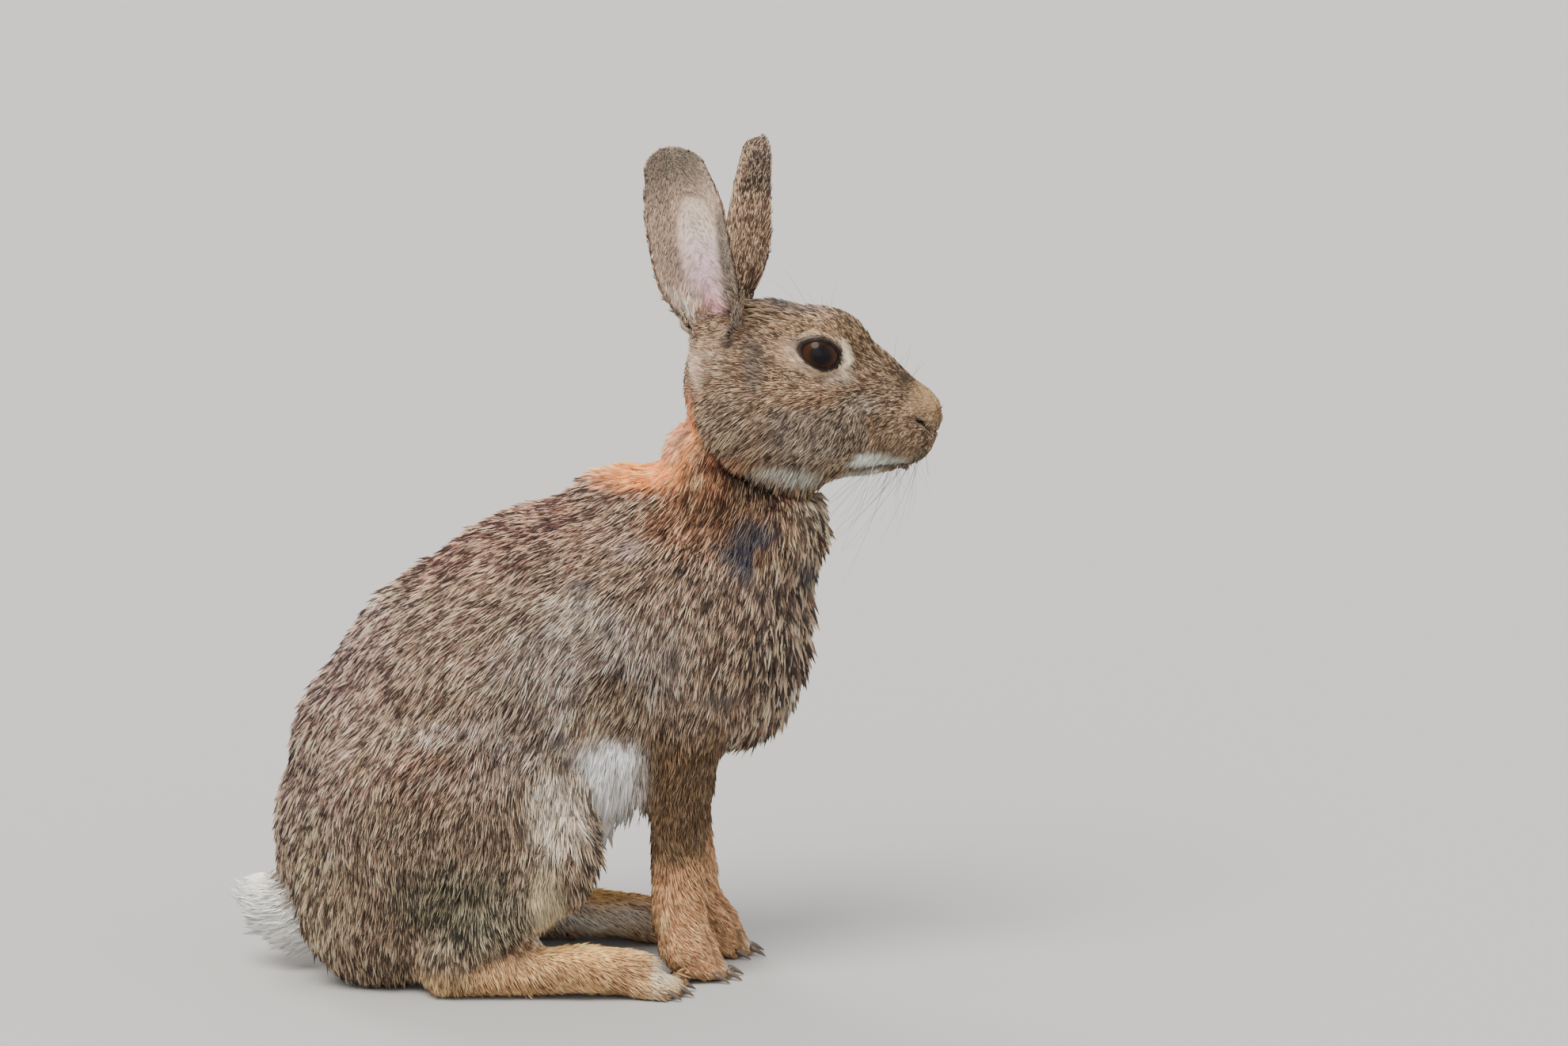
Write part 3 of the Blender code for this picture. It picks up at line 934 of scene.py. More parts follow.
class Skin:
    """The skin's mesh with all that the coat reads from it."""

    def __init__(self):
        self.obj = rough_skin()
        mesh = self.obj.data
        points = read_points(mesh)
        self.regions = find_regions(points, mesh)
        points = nudge(points)
        write_points(mesh, points)
        mesh.calc_loop_triangles()
        self.faces = read_rows(mesh.loop_triangles, "vertices", 3, np.int32)
        self.growth = grow_values(points, self.regions)
        self.sink(points, read_normals(mesh))
        lengthen_ears(self.growth, self.points, self.regions, self.hollow)
        self.flow = coat_flow(self.points, self.normals, self.regions)
        self.mark()
        self.finish_mesh()

    def sink(self, points, normals):
        """Lays the skin under the coat's depth, and works the creases, ears and lids into it."""
        sunk = points - normals * (self.growth["depth"] + SEAM)[:, None]
        sunk[:, 2] = np.maximum(sunk[:, 2], 0.3)
        creases = lay_creases(sunk, self.faces)
        self.dark, self.slit = crease_shade(sunk, creases)
        self.claws = near_claws(sunk)
        sunk = press_creases(sunk, normals, creases)
        sunk -= normals * self.claws[:, None]
        sunk = shape_lids(shape_ears(sunk, normals, self.regions))
        write_points(self.obj.data, sunk)
        self.points, self.normals = sunk, read_normals(self.obj.data)
        self.hollow = ear_hollow(sunk, self.normals, self.regions)
        # painted shade on the neck under the jaw
        self.under = painted_jaw_shadow(sunk, self.regions, creases)

    def mark(self):
        """The colours of the skin at each point, and those of a tuft that grows there."""
        colour, bare, _ = markings(self.points, self.regions, self.hollow)
        # painted shade: the creases and the neck under the jaw are darkened nearly to black
        colour = mix(colour, (0.012, 0.008, 0.007), np.maximum(self.dark, self.under))
        self.colour = mix(colour, (0.10, 0.07, 0.05), self.claws)
        self.bare = np.maximum(bare, np.maximum(self.slit, self.claws))
        shown = self.points + self.flow * (0.6 * self.growth["length"])[:, None]  # beyond the tuft's root
        colour, _, contrast = markings(shown, self.regions, self.hollow)
        # the tufts in a crease get its painted shade too
        self.tuft_colour = mix(colour, (0.02, 0.013, 0.011), 0.8 * self.dark)
        self.contrast = contrast * (1 - self.dark)

    def finish_mesh(self):
        """Between the tufts the skin shows darker, partly as slate underfur and partly as painted shade, most
        where the coat is mixed.
        """
        mesh = self.obj.data
        mesh.shade_smooth()
        shade = 1 - (0.40 + 0.3 * self.contrast) * (1 - self.bare)
        store_colours(mesh, self.colour * shade[:, None])
        bare = mesh.attributes.new("bare", "FLOAT", "POINT")
        bare.data.foreach_set("value", self.bare.astype(np.float32))
        dress(self.obj, skin_finish(), "agouti_fur", *FLESH)


def store_colours(mesh, colours):
    layer = mesh.color_attributes.new("coat", "FLOAT_COLOR", "POINT")
    full = np.ones((len(colours), 4), np.float32)
    full[:, :3] = np.clip(colours, 0, 1)
    layer.data.foreach_set("color", full.ravel())


# ---------------------------------------------------------------- the markings

NODE_COLOURS = {
    "head": (0.33, 0.225, 0.155),
    "neck": (0.40, 0.22, 0.13),
    "trunk": (0.385, 0.28, 0.22),
    "tail": (0.92, 0.91, 0.86),
    "ear": (0.37, 0.25, 0.18),
    # the foreleg's dark brown is partly its own colour and partly painted shade
    "foreleg": (0.165, 0.103, 0.058),
    "forepaw": (0.48, 0.27, 0.14),
    "hindleg": (0.34, 0.26, 0.20),
    "hindfoot": (0.70, 0.42, 0.21),
}
# Patches of colour on both sides, each an ellipsoid with a soft edge, kept to some kinds of node
# where they are named.  The contrast says how strongly the tufts there differ in tone: the dark and
# pale bands of wild hair, or plain white.
Patch = namedtuple("Patch", "name colour contrast place reach nodes broken", defaults=[(), 0])
PATCHES = [
    Patch("warm back", (0.28, 0.15, 0.125), 1.0, (-35, 0, 165), (62, 40, 34)),
    Patch("dark loin", (0.36, 0.255, 0.235), 1.0, (-92, 10, 120), (36, 48, 42)),
    Patch("grey side", (0.58, 0.49, 0.44), 1.0, (0, 46, 122), (46, 26, 32)),
    Patch("grey flank", (0.5, 0.41, 0.37), 1.0, (-42, 54, 92), (44, 24, 18)),
    Patch("rump", (0.32, 0.235, 0.21), 1.0, (-100, 20, 70), (28, 44, 28)),
    Patch("rump blush", (0.40, 0.28, 0.24), 0.7, (-94, 46, 92), (13, 16, 9)),
    Patch("haunch top", (0.4, 0.265, 0.205), 1.0, (-60, 56, 84), (34, 22, 17), (), 0.6),
    # The haunch foot's dark grey is partly its own fur and partly painted shade low on the body.
    Patch("haunch foot", (0.175, 0.17, 0.13), 1.0, (-48, 56, 34), (38, 18, 22)),
    Patch("rump foot", (0.36, 0.29, 0.21), 1.0, (-98, 34, 40), (15, 26, 34)),
    Patch("rufous nape", (1.0, 0.33, 0.07), 0.2, (34, 0, 198), (22, 17, 20)),
    Patch("rufous withers", (1.0, 0.33, 0.1), 0.4, (16, 6, 187), (24, 20, 10)),
    Patch("rufous shoulder", (0.36, 0.19, 0.12), 1.0, (34, 24, 172), (20, 26, 15)),
    Patch("worn shoulder", (0.42, 0.32, 0.3), 0.6, (14, 34, 164), (11, 12, 7)),
    Patch("neck side", (0.155, 0.08, 0.05), 0.9, (58, 22, 176), (26, 30, 12)),
    Patch("nape side", (0.38, 0.15, 0.08), 0.9, (46, 24, 193), (12, 14, 15)),
    Patch("nape edge", (0.95, 0.47, 0.3), 0.3, (30, 8, 206), (9, 16, 20)),
    Patch("throat", (0.34, 0.29, 0.22), 0.9, (80, 0, 172), (14, 24, 12), ("neck", "trunk")),
    Patch("breast", (0.33, 0.25, 0.2), 1.0, (72, 10, 130), (28, 34, 44), ("neck", "trunk")),
    Patch("slate breast", (0.06, 0.058, 0.078), 0.45, (58, 20, 160), (18, 30, 15), ("neck", "trunk"), 1.0),
    Patch("slate gaps", (0.10, 0.09, 0.09), 0.5, (72, 18, 147), (14, 30, 16), ("neck", "trunk"), 1.0),
    Patch("breast edge", (0.46, 0.42, 0.34), 0.6, (80, 0, 98), (16, 34, 16)),
    Patch("pale side", (0.66, 0.56, 0.48), 0.9, (-4, 45, 139), (12, 25, 12)),
    Patch("rib shade", (0.3, 0.235, 0.19), 1.0, (8, 46, 112), (14, 24, 10)),
    # Painted shade: the three creases below are dark lines where the body folds.
    Patch("shoulder crease", (0.12, 0.095, 0.085), 0.1, (46, 34, 108), (13, 25, 3.2)),
    Patch("arm crease", (0.13, 0.10, 0.085), 0.15, (30, 44, 124), (3.5, 25, 9)),
    Patch("side crease", (0.12, 0.1, 0.1), 0.1, (-3, 45, 151), (8, 25, 2.4)),
    Patch("elbow", (0.62, 0.48, 0.34), 1.0, (8, 42, 101), (22, 18, 12), (), 0.5),
    Patch("belly", (0.96, 0.93, 0.88), 0.1, (8, 24, 62), (36, 36, 20), ("trunk",)),
    Patch("belly side", (0.98, 0.96, 0.93), 0.1, (8, 40, 82), (22, 24, 16), ("trunk",)),
    Patch("groin", (0.62, 0.55, 0.47), 0.3, (-4, 0, 34), (52, 40, 26), ("trunk", "hindleg")),
    Patch("thigh front", (0.92, 0.8, 0.66), 0.85, (-11, 54, 70), (16, 18, 20)),
    Patch("hock", (0.46, 0.39, 0.25), 0.3, (-16, 46, 35), (9, 18, 20), ("trunk", "hindleg", "hindfoot")),
    Patch("heel", (0.50, 0.36, 0.2), 0.6, (-52, 44, 10), (20, 14, 10), ("hindfoot",)),
    # The inner instep is pale fur, made brighter still as painted light against the shade under the body.
    Patch("inner instep", (1.0, 0.86, 0.72), 0.05, (-6, 32, 18), (50, 12, 18), ("hindfoot", "hindleg")),
    Patch("instep", (1.0, 0.54, 0.21), 0.4, (0, 43, 14), (26, 12, 10), ("hindfoot",)),
    Patch("hind toes", (0.85, 0.72, 0.52), 0.2, (30, 43, 6), (12, 16, 9), ("hindfoot",)),
    # The upper arm is partly painted shade near the elbow.
    Patch("upper arm", (0.17, 0.105, 0.06), 0.6, (34, 34, 88), (18, 12, 16), ("foreleg",)),
    Patch("arm top", (0.3, 0.225, 0.17), 1.0, (34, 34, 110), (24, 20, 22), ("foreleg",)),
    Patch("inner arm", (0.70, 0.60, 0.46), 0.3, (24, 8, 56), (12, 10, 34), ("foreleg",)),
    Patch("paw", (0.85, 0.46, 0.24), 0.6, (40, 20, 22), (28, 16, 30), ("forepaw", "foreleg")),
    Patch("fore toes", (0.80, 0.60, 0.42), 0.3, (61, 18, 6), (7, 12, 7), ("forepaw",)),
    Patch("forehead", (0.105, 0.065, 0.036), 0.75, (98, 6, 238), (17, 14, 14), ("head",)),
    Patch("brow", (0.3, 0.19, 0.115), 0.9, (82, 15, 244), (14, 7, 5), ("head",)),
    Patch("crown", (0.07, 0.065, 0.075), 0.5, (82, 0, 252), (30, 13, 7.5), ("head",)),
    Patch("bridge", (0.1, 0.06, 0.035), 0.7, (112, 0, 222), (16, 12, 13), ("head",)),
    Patch("nose", (0.38, 0.25, 0.135), 0.35, (122, 0, 212), (12, 11, 10), ("head",)),
    Patch("muzzle", (0.23, 0.155, 0.1), 0.8, (113, 8, 200), (14, 10, 10), ("head",)),
    Patch("nostril rim", (0.56, 0.44, 0.31), 0.2, (120.4, 6.5, 205.6), (2.0, 3.4, 3.2), ("head",)),
    Patch("grey lip", (0.15, 0.12, 0.08), 0.45, (121, 7, 194), (8, 7, 4.5), ("head",)),
    Patch("cheek", (0.27, 0.225, 0.195), 1.0, (80, 23, 204), (24, 12, 16), ("head",)),
    Patch("slate cheek", (0.21, 0.175, 0.15), 0.9, (69, 24, 207), (5, 10, 11), ("head",)),
    Patch("dark cheek front", (0.2, 0.16, 0.13), 0.9, (98, 15, 202), (5, 9, 9), ("head",)),
    Patch("cheek streak", (0.46, 0.4, 0.34), 1.0, (100, 15, 214), (10, 8, 6), ("head",)),
    Patch("under eye", (0.33, 0.215, 0.14), 0.9, (80, 22, 219), (15, 9, 7), ("head",)),
    Patch("jowl", (0.27, 0.205, 0.155), 1.0, (48, 22, 208), (14, 14, 18), ("head", "neck")),
    Patch("jaw edge", (0.8, 0.8, 0.7), 0.45, (69, 17, 189), (18, 16, 5.2), ("head",)),
    # The white lip and the chin are greyed partly by painted shade under the upper lip.
    Patch("white lip", (0.68, 0.74, 0.65), 0.1, (104, 9, 193.2), (15, 7, 3.6), ("head",)),
    Patch("chin", (0.5, 0.48, 0.4), 0.3, (100, 4, 185), (21, 10, 5.2), ("head",)),
    Patch("lower lip", (0.05, 0.035, 0.03), 0.05, (113.5, 2.5, 188.6), (5, 5, 2.2), ("head",)),
    Patch("behind eye", (0.48, 0.32, 0.22), 0.5, (71, 21, 235), (7, 8, 8), ("head",)),
    Patch("temple", (0.15, 0.115, 0.095), 0.6, (59, 20, 231), (5.5, 9, 15), ("head",)),
    Patch("ear foot", (0.48, 0.34, 0.245), 0.8, (44, 20, 232), (10, 11, 13), ("head", "neck")),
    Patch("ear foot edge", (0.98, 0.66, 0.5), 0.4, (37, 16, 226), (6, 9, 12), ("head", "neck")),
    # The ear pit is painted shade in the hollow at the ear's foot.
    Patch("ear pit", (0.05, 0.03, 0.028), 0.1, (50, 20, 238), (3.2, 5, 3.4)),
    Patch("nose spot", (0.05, 0.035, 0.025), 0.1, (115.5, 5, 222.5), (4.5, 4, 2.8), ("head",)),
    # Painted shade: these two creases are dark lines where the body folds.
    Patch("side crease foot", (0.12, 0.1, 0.1), 0.1, (7, 45, 137), (2.6, 25, 7)),
    Patch("flank crease", (0.12, 0.1, 0.1), 0.1, (-12.5, 50, 95), (6, 25, 3)),
    Patch("tear edge", (0.5, 0.39, 0.29), 0.6, (92, 17, 224.5), (9, 9, 4), ("head",)),
    Patch("tail root", (0.40, 0.32, 0.25), 0.8, (-104, 0, 41), (12, 14, 6)),
]


def ring_round_eyes(points):
    """How far into the pale ring round the eyes each point lies: it is faint above and ahead."""
    ring = np.zeros(len(points))
    for eye in EYES.values():
        off = points - eye.centre
        across, rise = off @ eye.ahead / eye.radius, off @ eye.up / eye.radius
        wide, high = np.where(across > 0, 1.38, 1.36), np.where(rise > 0, 0.96, 1.0)
        spread = np.hypot(across / wide, (rise + 0.12 * across) / high)
        pale = fade(0.90, 1.2, spread + 0.1 * grain(points, 2.5, 9)) * (np.linalg.norm(off, axis=1) < 16)
        pale *= 1 - 0.85 * ease(0.2, 0.7, rise) * ease(-0.5, 0.2, across) * fade(0.85, 1.2, across)
        pale *= 1 - 0.6 * ease(0.3, 0.7, -rise) * ease(0.2, 0.6, across) * fade(0.9, 1.2, across)
        ring = np.maximum(ring, pale * same_side(points, eye.centre))
    return ring


def whisker_pads(folded):
    """The dark spots on the muzzle that the whiskers grow from, in rows."""
    spots = np.zeros(len(folded))
    for row in WHISKERS:
        for step in range(row.count + 1):
            spot = mix(row.start, row.end, step / row.count)
            spots = np.maximum(spots, bell(folded, spot, (0.75, 3.5, 0.6)))
    return spots


def patch_share(patch, points, folded, regions, wobble):
    """How far into a patch each point lies."""
    total = sum(regions.values())
    share = fade(0.45, 1.1, spread_from(folded, patch.place, patch.reach) * (1 + wobble))
    share *= sum(regions[name] for name in patch.nodes) / total if patch.nodes else 1 - regions["ear"] / total
    if patch.broken:
        share *= 1 - patch.broken * fade(-0.15, 0.3, grain(points * (1.5, 1, 0.8), 7, 6))
    return share


def markings(points, regions, hollow):
    """The colour of the coat over each point, how bare the skin is, and how mixed the tufts are."""
    total = sum(regions.values())
    colour = sum(np.outer(share, NODE_COLOURS[name]) for name, share in regions.items()) / total[:, None]
    feet = 0.45 * regions["forepaw"] + 0.45 * regions["hindfoot"] + 0.55 * regions["foreleg"]
    contrast = 1 - 0.75 * regions["tail"] / total - feet / total
    folded = both_sides(points)
    wobble = grain(points, 11, 1) * 0.10 + grain(points, 4.5, 2) * 0.06
    for patch in PATCHES:
        share = patch_share(patch, points, folded, regions, wobble)
        colour = mix(colour, patch.colour, share)
        contrast = mix(contrast, patch.contrast, share)
    ring = ring_round_eyes(points)
    cream = mix((0.62, 0.46, 0.32), (0.95, 0.8, 0.6), ease(88, 93, folded[:, 0]))
    colour = mix(colour, cream, 0.9 * ring)
    contrast = mix(contrast, 0.2, ring)
    colour, bare = mark_lids(points, colour)
    colour = mix(colour, (0.05, 0.035, 0.028), 0.85 * whisker_pads(folded))
    colour, bare, contrast = mark_ears(points, regions, hollow, colour, bare, contrast)
    tone = 1 + 0.16 * grain(points, 16, 3) + 0.10 * grain(points, 6, 4)
    return np.clip(colour * mix(1.0, tone, contrast)[:, None], 0.004, 1), bare, contrast


def mark_lids(points, colour):
    """A dark bare rim round each eye's opening, wider above."""
    bare = np.zeros(len(points))
    for eye in EYES.values():
        off = points - eye.centre
        upper = ease(-0.2, 0.6, off @ eye.up / eye.radius)
        lid = fade(1.05, 1.2 + 0.35 * upper, lid_opening(eye, points))
        lid = lid * (np.linalg.norm(off, axis=1) < eye.radius + 3)
        colour = mix(colour, (0.018, 0.011, 0.01), lid)
        bare = np.maximum(bare, lid)
    return colour, bare


def mark_ears(points, regions, hollow, colour, bare, contrast):
    """Each ear is brown outside and pink and tan inside, with a pale or dark fringe along its rim."""
    for ear in EARS.values():
        along, across = ear_places(points, ear)
        here = same_side(points, ear.root) * ease(0.3, 0.7, regions["ear"])
        edge = across * ear.front
        outside, inside = here * (1 - hollow), here * hollow
        colour = mark_ear_back(points, along, edge, outside, colour)
        # painted shade where the ear's front rim folds over the hollow
        fold = ease(2.4, 4.6, edge - 11 * along) * fade(0.6, 0.8, along)
        core = ear_core(points, along, edge) * (1 - fold)
        tan = mix((0.95, 0.64, 0.46), (0.36, 0.28, 0.215), ease(0.62, 0.9, along))
        tan = mix(tan, (0.10, 0.06, 0.038), fold)
        colour = mix(colour, mix(tan, ear_pink(points, along), core), inside)
        rosy = fade(0.08, 0.22, along) * inside * core
        colour = mix(colour, (0.55, 0.22, 0.22), 0.7 * rosy)
        bare = np.maximum(bare, ease(0.15, 0.6, core) * inside)
        contrast = mix(contrast, 0.6 - 0.4 * fold, inside)
        band = inside * ease(7.0, 9.5, -edge + 3 * along) * ease(0.12, 0.4, along)
        colour = mix(colour, (0.24, 0.15, 0.10), 0.6 * band)
        front = ease(2, 6, edge) * fade(0.8, 0.92, along)
        brown = mix((0.18, 0.125, 0.085), (0.08, 0.06, 0.05), ease(0.4, 0.55, along))
        rim = 4 * here * hollow * (1 - hollow)
        colour = mix(colour, mix((0.85, 0.74, 0.64), brown, front), 0.9 * rim)
    return colour, bare, contrast


def mark_ear_back(points, along, edge, outside, colour):
    """The back of an ear is brown, with a black front edge at the tip and a dark root."""
    black = ease(0.60, 0.78, along + 0.06 * grain(points, 6, 12)) * ease(2, 8, edge)
    colour = mix(colour, (0.05, 0.04, 0.04), 0.85 * black * outside)
    colour = mix(colour, (0.22, 0.17, 0.15), 0.5 * ease(0.82, 0.96, along) * outside)
    return mix(colour, (0.17, 0.12, 0.09), 0.6 * fade(0.05, 0.3, along) * outside)


def ear_core(points, along, edge):
    """How far into the bare middle of an ear's hollow each point lies."""
    half = 0.8 + 8.8 * ease(0.0, 0.26, along) - 3.8 * ease(0.4, 0.85, along)
    reach = (edge - 1.4 - 1.6 * along) / half
    return np.exp(-(reach**4)) * fade(0.55, 0.85, along + 0.08 * grain(points, 5, 13))


def ear_pink(points, along):
    """The bare skin in an ear: pink at its foot, flushed in places, and paler higher up."""
    flush = 0.5 + 0.5 * grain(points, 7, 5)
    pink = mix((1.0, 0.70, 0.76), (0.92, 0.46, 0.54), 0.5 * flush * fade(0.1, 0.45, along))
    return mix(pink, (0.78, 0.66, 0.55), ease(0.3, 0.6, along))


# ---------------------------------------------------------------- the lie of the coat

# Which way the hair runs at named places on the left side of the body.
Lie = namedtuple("Lie", "name place way")
LIES = [
    Lie("nape", (40, 0, 205), (-0.35, 0, -0.95)),
    Lie("neck side", (60, 24, 178), (-0.35, 0.1, -0.95)),
    Lie("throat", (82, 0, 168), (-0.1, 0, -1)),
    Lie("withers", (18, 0, 186), (-0.9, 0, -0.35)),
    Lie("shoulder", (36, 34, 140), (-0.5, 0.1, -0.85)),
    Lie("breast", (80, 0, 135), (-0.05, 0.05, -1)),
    Lie("breast side", (66, 28, 125), (-0.3, 0.2, -0.95)),
    Lie("breast foot", (62, 10, 92), (-0.55, 0, -0.85)),
    Lie("ribs", (-5, 44, 118), (-0.62, 0.1, -0.78)),
    Lie("mid back", (-35, 0, 158), (-0.86, 0, -0.5)),
    Lie("back side", (-40, 32, 138), (-0.75, 0.25, -0.6)),
    Lie("croup", (-88, 0, 118), (-0.5, 0, -0.87)),
    Lie("rump", (-112, 0, 70), (-0.12, 0, -1)),
    Lie("rump foot", (-105, 25, 30), (-0.1, 0.1, -1)),
    Lie("flank", (-36, 50, 96), (-0.55, 0.1, -0.83)),
    Lie("haunch", (-55, 57, 62), (-0.22, 0.05, -0.97)),
    Lie("thigh front", (-8, 55, 62), (0.12, 0.05, -1)),
    Lie("hock", (-15, 50, 28), (0.35, 0, -0.94)),
    Lie("heel", (-60, 48, 12), (0.1, 0, -1)),
    Lie("belly", (12, 20, 68), (-0.25, 0.05, -0.95)),
    Lie("groin", (-30, 10, 30), (-0.9, 0, -0.4)),
    Lie("upper arm", (34, 34, 95), (-0.1, 0, -1)),
    Lie("forearm", (32, 24, 50), (0.05, 0, -1)),
    Lie("wrist", (36, 18, 22), (0.45, 0, -0.9)),
    Lie("forefoot", (48, 18, 8), (0.95, 0, -0.35)),
    Lie("hind instep", (0, 43, 15), (0.98, 0, -0.2)),
    Lie("hind toes", (28, 43, 7), (1, 0, -0.25)),
    Lie("tail", (-118, 0, 28), (-0.55, 0, 0.85)),
]
LIE_REACH = 24.0  # how far round its place each of them counts


def coat_flow(points, normals, regions):
    """The direction of the hair along the skin at each point."""
    folded = both_sides(points)
    side = np.sign(points[:, 1]) + (points[:, 1] == 0)
    way = np.zeros_like(points)
    for lie in LIES:
        weight = np.exp(-np.sum((folded - np.array(lie.place)) ** 2, axis=1) / (2 * LIE_REACH**2)) + 1e-9
        way += weight[:, None] * np.array(lie.way)
    way = units(way)
    way[:, 1] *= side
    head = ease(0.3, 0.7, regions["head"])
    from_nose = units(points - (NOSE + np.array((4.0, 0, 2.0))))
    droop = fade(205, 226, points[:, 2]) * (0.25 + 0.75 * ease(-8, 30, 118 - points[:, 0]))
    over_head = units(from_nose + droop[:, None] * np.array((0.0, 0, -1.15)))
    way = mix(way, over_head, head)
    for ear in EARS.values():
        here = same_side(points, ear.root) * ease(0.35, 0.75, regions["ear"])
        _, across = ear_places(points, ear)
        turned = 0.5 * ease(0.1, 0.45, normals @ ear.hollow)  # in the hollow the hair leans to the middle
        inward = -np.sign(across)[:, None] * ear.across * turned[:, None]
        way = mix(way, units(ear.along + inward), here)
    wind = 0.30 * grain(points, 13, 6) + 0.16 * grain(points, 5, 7)
    way = way - normals * np.sum(way * normals, axis=1)[:, None]
    way = units(way)
    return units(way + np.cross(normals, way) * wind[:, None])


# ---------------------------------------------------------------- the coat

BEND = 0.45  # how far along a tuft it bends over and is widest
LOCK = 11  # tufts in a lock
TICK = 2  # tufts in a tick of one colour
SHADE_LEAN = 0.55  # how far a tuft's own form turns its shading from that of a smooth coat
CHART_FACES = 7000
BAKE_PATCH = 0.003  # how wide a tuft's patch of the bake is, where the whole bake is 1 wide


class Chart:
    """An unwrap of a coarse copy of the skin, that gives every root its place in the bake."""

    def __init__(self, skin):
        coarse = put_in_scene("chart", skin.obj.data.copy())
        modify(coarse, "DECIMATE", ratio=CHART_FACES / len(skin.faces))
        bpy.context.view_layer.objects.active = coarse
        for obj in bpy.context.selected_objects:
            obj.select_set(False)
        coarse.select_set(True)
        bpy.ops.object.mode_set(mode="EDIT")
        bpy.ops.mesh.select_all(action="SELECT")
        bpy.ops.uv.smart_project(angle_limit=math.radians(62), island_margin=0.004)
        bpy.ops.object.mode_set(mode="OBJECT")
        mesh = coarse.data
        mesh.calc_loop_triangles()
        layer = mesh.uv_layers.active.data
        self.spots = [[layer[loop].uv.to_3d() for loop in face.loops] for face in mesh.loop_triangles]
        corners = [vert.co / MM for vert in mesh.vertices]
        faces = [list(face.vertices) for face in mesh.loop_triangles]
        self.corners = [[corners[vert] for vert in face] for face in faces]
        self.tree = BVHTree.FromPolygons(corners, faces)
        bpy.data.objects.remove(coarse)

    def places(self, points):
        """Where each point falls in the unwrap, on the nearest face of the coarse copy."""
        found = np.empty((len(points), 2))
        for index, point in enumerate(points):
            spot, _, face, _ = self.tree.find_nearest(point)
            found[index] = barycentric_transform(spot, *self.corners[face], *self.spots[face])[:2]
        return found


def sow(skin, chosen, count, rng):
    """Spreads roots over part of the skin, thickest where the tufts are short and thin.  The answer is
    a function that reads any field of the skin at the roots."""
    faces = skin.faces[chosen[skin.faces].mean(axis=1) > 0.5]
    a, b, c = (skin.points[faces[:, corner]] for corner in range(3))
    area = np.linalg.norm(np.cross(b - a, c - a), axis=1) / 2
    size = (skin.growth["length"] * skin.growth["width"])[faces].mean(axis=1)
    bare = ease(0.15, 0.6, skin.bare[faces].mean(axis=1))
    sparse = 0.99 - 0.19 * skin.regions["ear"][faces].mean(axis=1)  # bare skin has few tufts, ears some
    running = np.cumsum(area / size * (1 - sparse * bare))
    picks = (np.arange(count) + rng.random(count)) / count * running[-1]
    corners = faces[np.minimum(np.searchsorted(running, picks), len(faces) - 1)]
    share = rng.random((count, 2))
    share = np.where(share.sum(axis=1, keepdims=True) > 1, 1 - share, share)
    weights = np.column_stack([1 - share.sum(axis=1), share])
    return lambda field: np.einsum("nk,nk...->n...", weights, field[corners])


def find_locks(roots, rng, size):
    """Parts the tufts into locks: for each tuft, the number of its leading tuft."""
    leaders = rng.choice(len(roots), max(int(len(roots) / size), 1), replace=False)
    tree = nearest_tree(roots[leaders])
    return leaders[np.array([tree.find(root)[1] for root in roots])]


def gather(roots, tips, locks, pull):
    """Draws each tip towards that of its leading tuft, so that the coat parts into locks."""
    offset = tips[locks] - tips
    reach = np.linalg.norm(offset, axis=1, keepdims=True)
    length = np.linalg.norm(tips - roots, axis=1, keepdims=True)
    return tips + offset * pull[:, None] * np.minimum(1, 0.8 * length / np.maximum(reach, 1e-6))


def shape_tufts(skin, at, roots, locks, rng):
    """Each tuft is a flat spindle of four points that rises from the skin and then bends along it.
    Gives the points, and the normals that shade the tuft as part of a round coat."""
    count = len(roots)
    normals, way = units(at(skin.normals)), at(skin.flow)
    way = units(way - normals * np.sum(way * normals, axis=1)[:, None])
    loose = np.clip((at(skin.growth["length"]) - 3) / 8, 0.1, 1)  # long hair parts, close hair doesn't
    turn = rng.normal(0, 0.12, count) + 0.26 * rng.normal(0, 1, count)[locks] * loose * loose
    way = units(way + np.cross(normals, way) * turn[:, None])
    length = at(skin.growth["length"]) * np.exp(rng.normal(0, 0.18, count))
    width = at(skin.growth["width"]) * rng.uniform(0.7, 1.35, count) / math.sqrt(THINNER)
    stand = rng.normal(0, 0.3, count) + 0.2 * rng.normal(0, 1, count)[locks] * loose
    lift = np.radians(at(skin.growth["lift"]) * np.exp(stand))
    down = at(skin.growth["hang"])[:, None] * np.array((0, 0, -1))
    rise = way * np.cos(1.5 * lift)[:, None] + normals * np.sin(1.5 * lift)[:, None]
    rise = units(rise + 0.3 * down)
    over = units(way * np.cos(0.5 * lift)[:, None] + normals * np.sin(0.5 * lift)[:, None] + down)
    middle = roots + rise * (BEND * length)[:, None]
    tips = middle + over * ((1 - BEND) * length)[:, None]
    pull = 0.5 * loose * rng.uniform(0.2, 1.2, count) * (1 - at(skin.hollow))
    tips = gather(roots, tips, locks, pull)
    middle = mix(middle, roots * (1 - BEND) + tips * BEND + normals * (0.09 * length)[:, None], 0.4)
    bed = roots - normals * np.minimum(0.35, 0.2 * length)[:, None] - way * 0.1
    for points, lowest in ((bed, 0.2), (middle, 0.5), (tips, 0.25)):
        points[:, 2] = np.maximum(points[:, 2], lowest)
    across = units(np.cross(way, normals))
    side = across * (width / 2)[:, None]
    shade = normals[:, None, :] + SHADE_LEAN * np.stack([rise, across, -across, over], axis=1)
    return np.stack([bed, middle + side, middle - side, tips], axis=1), shade


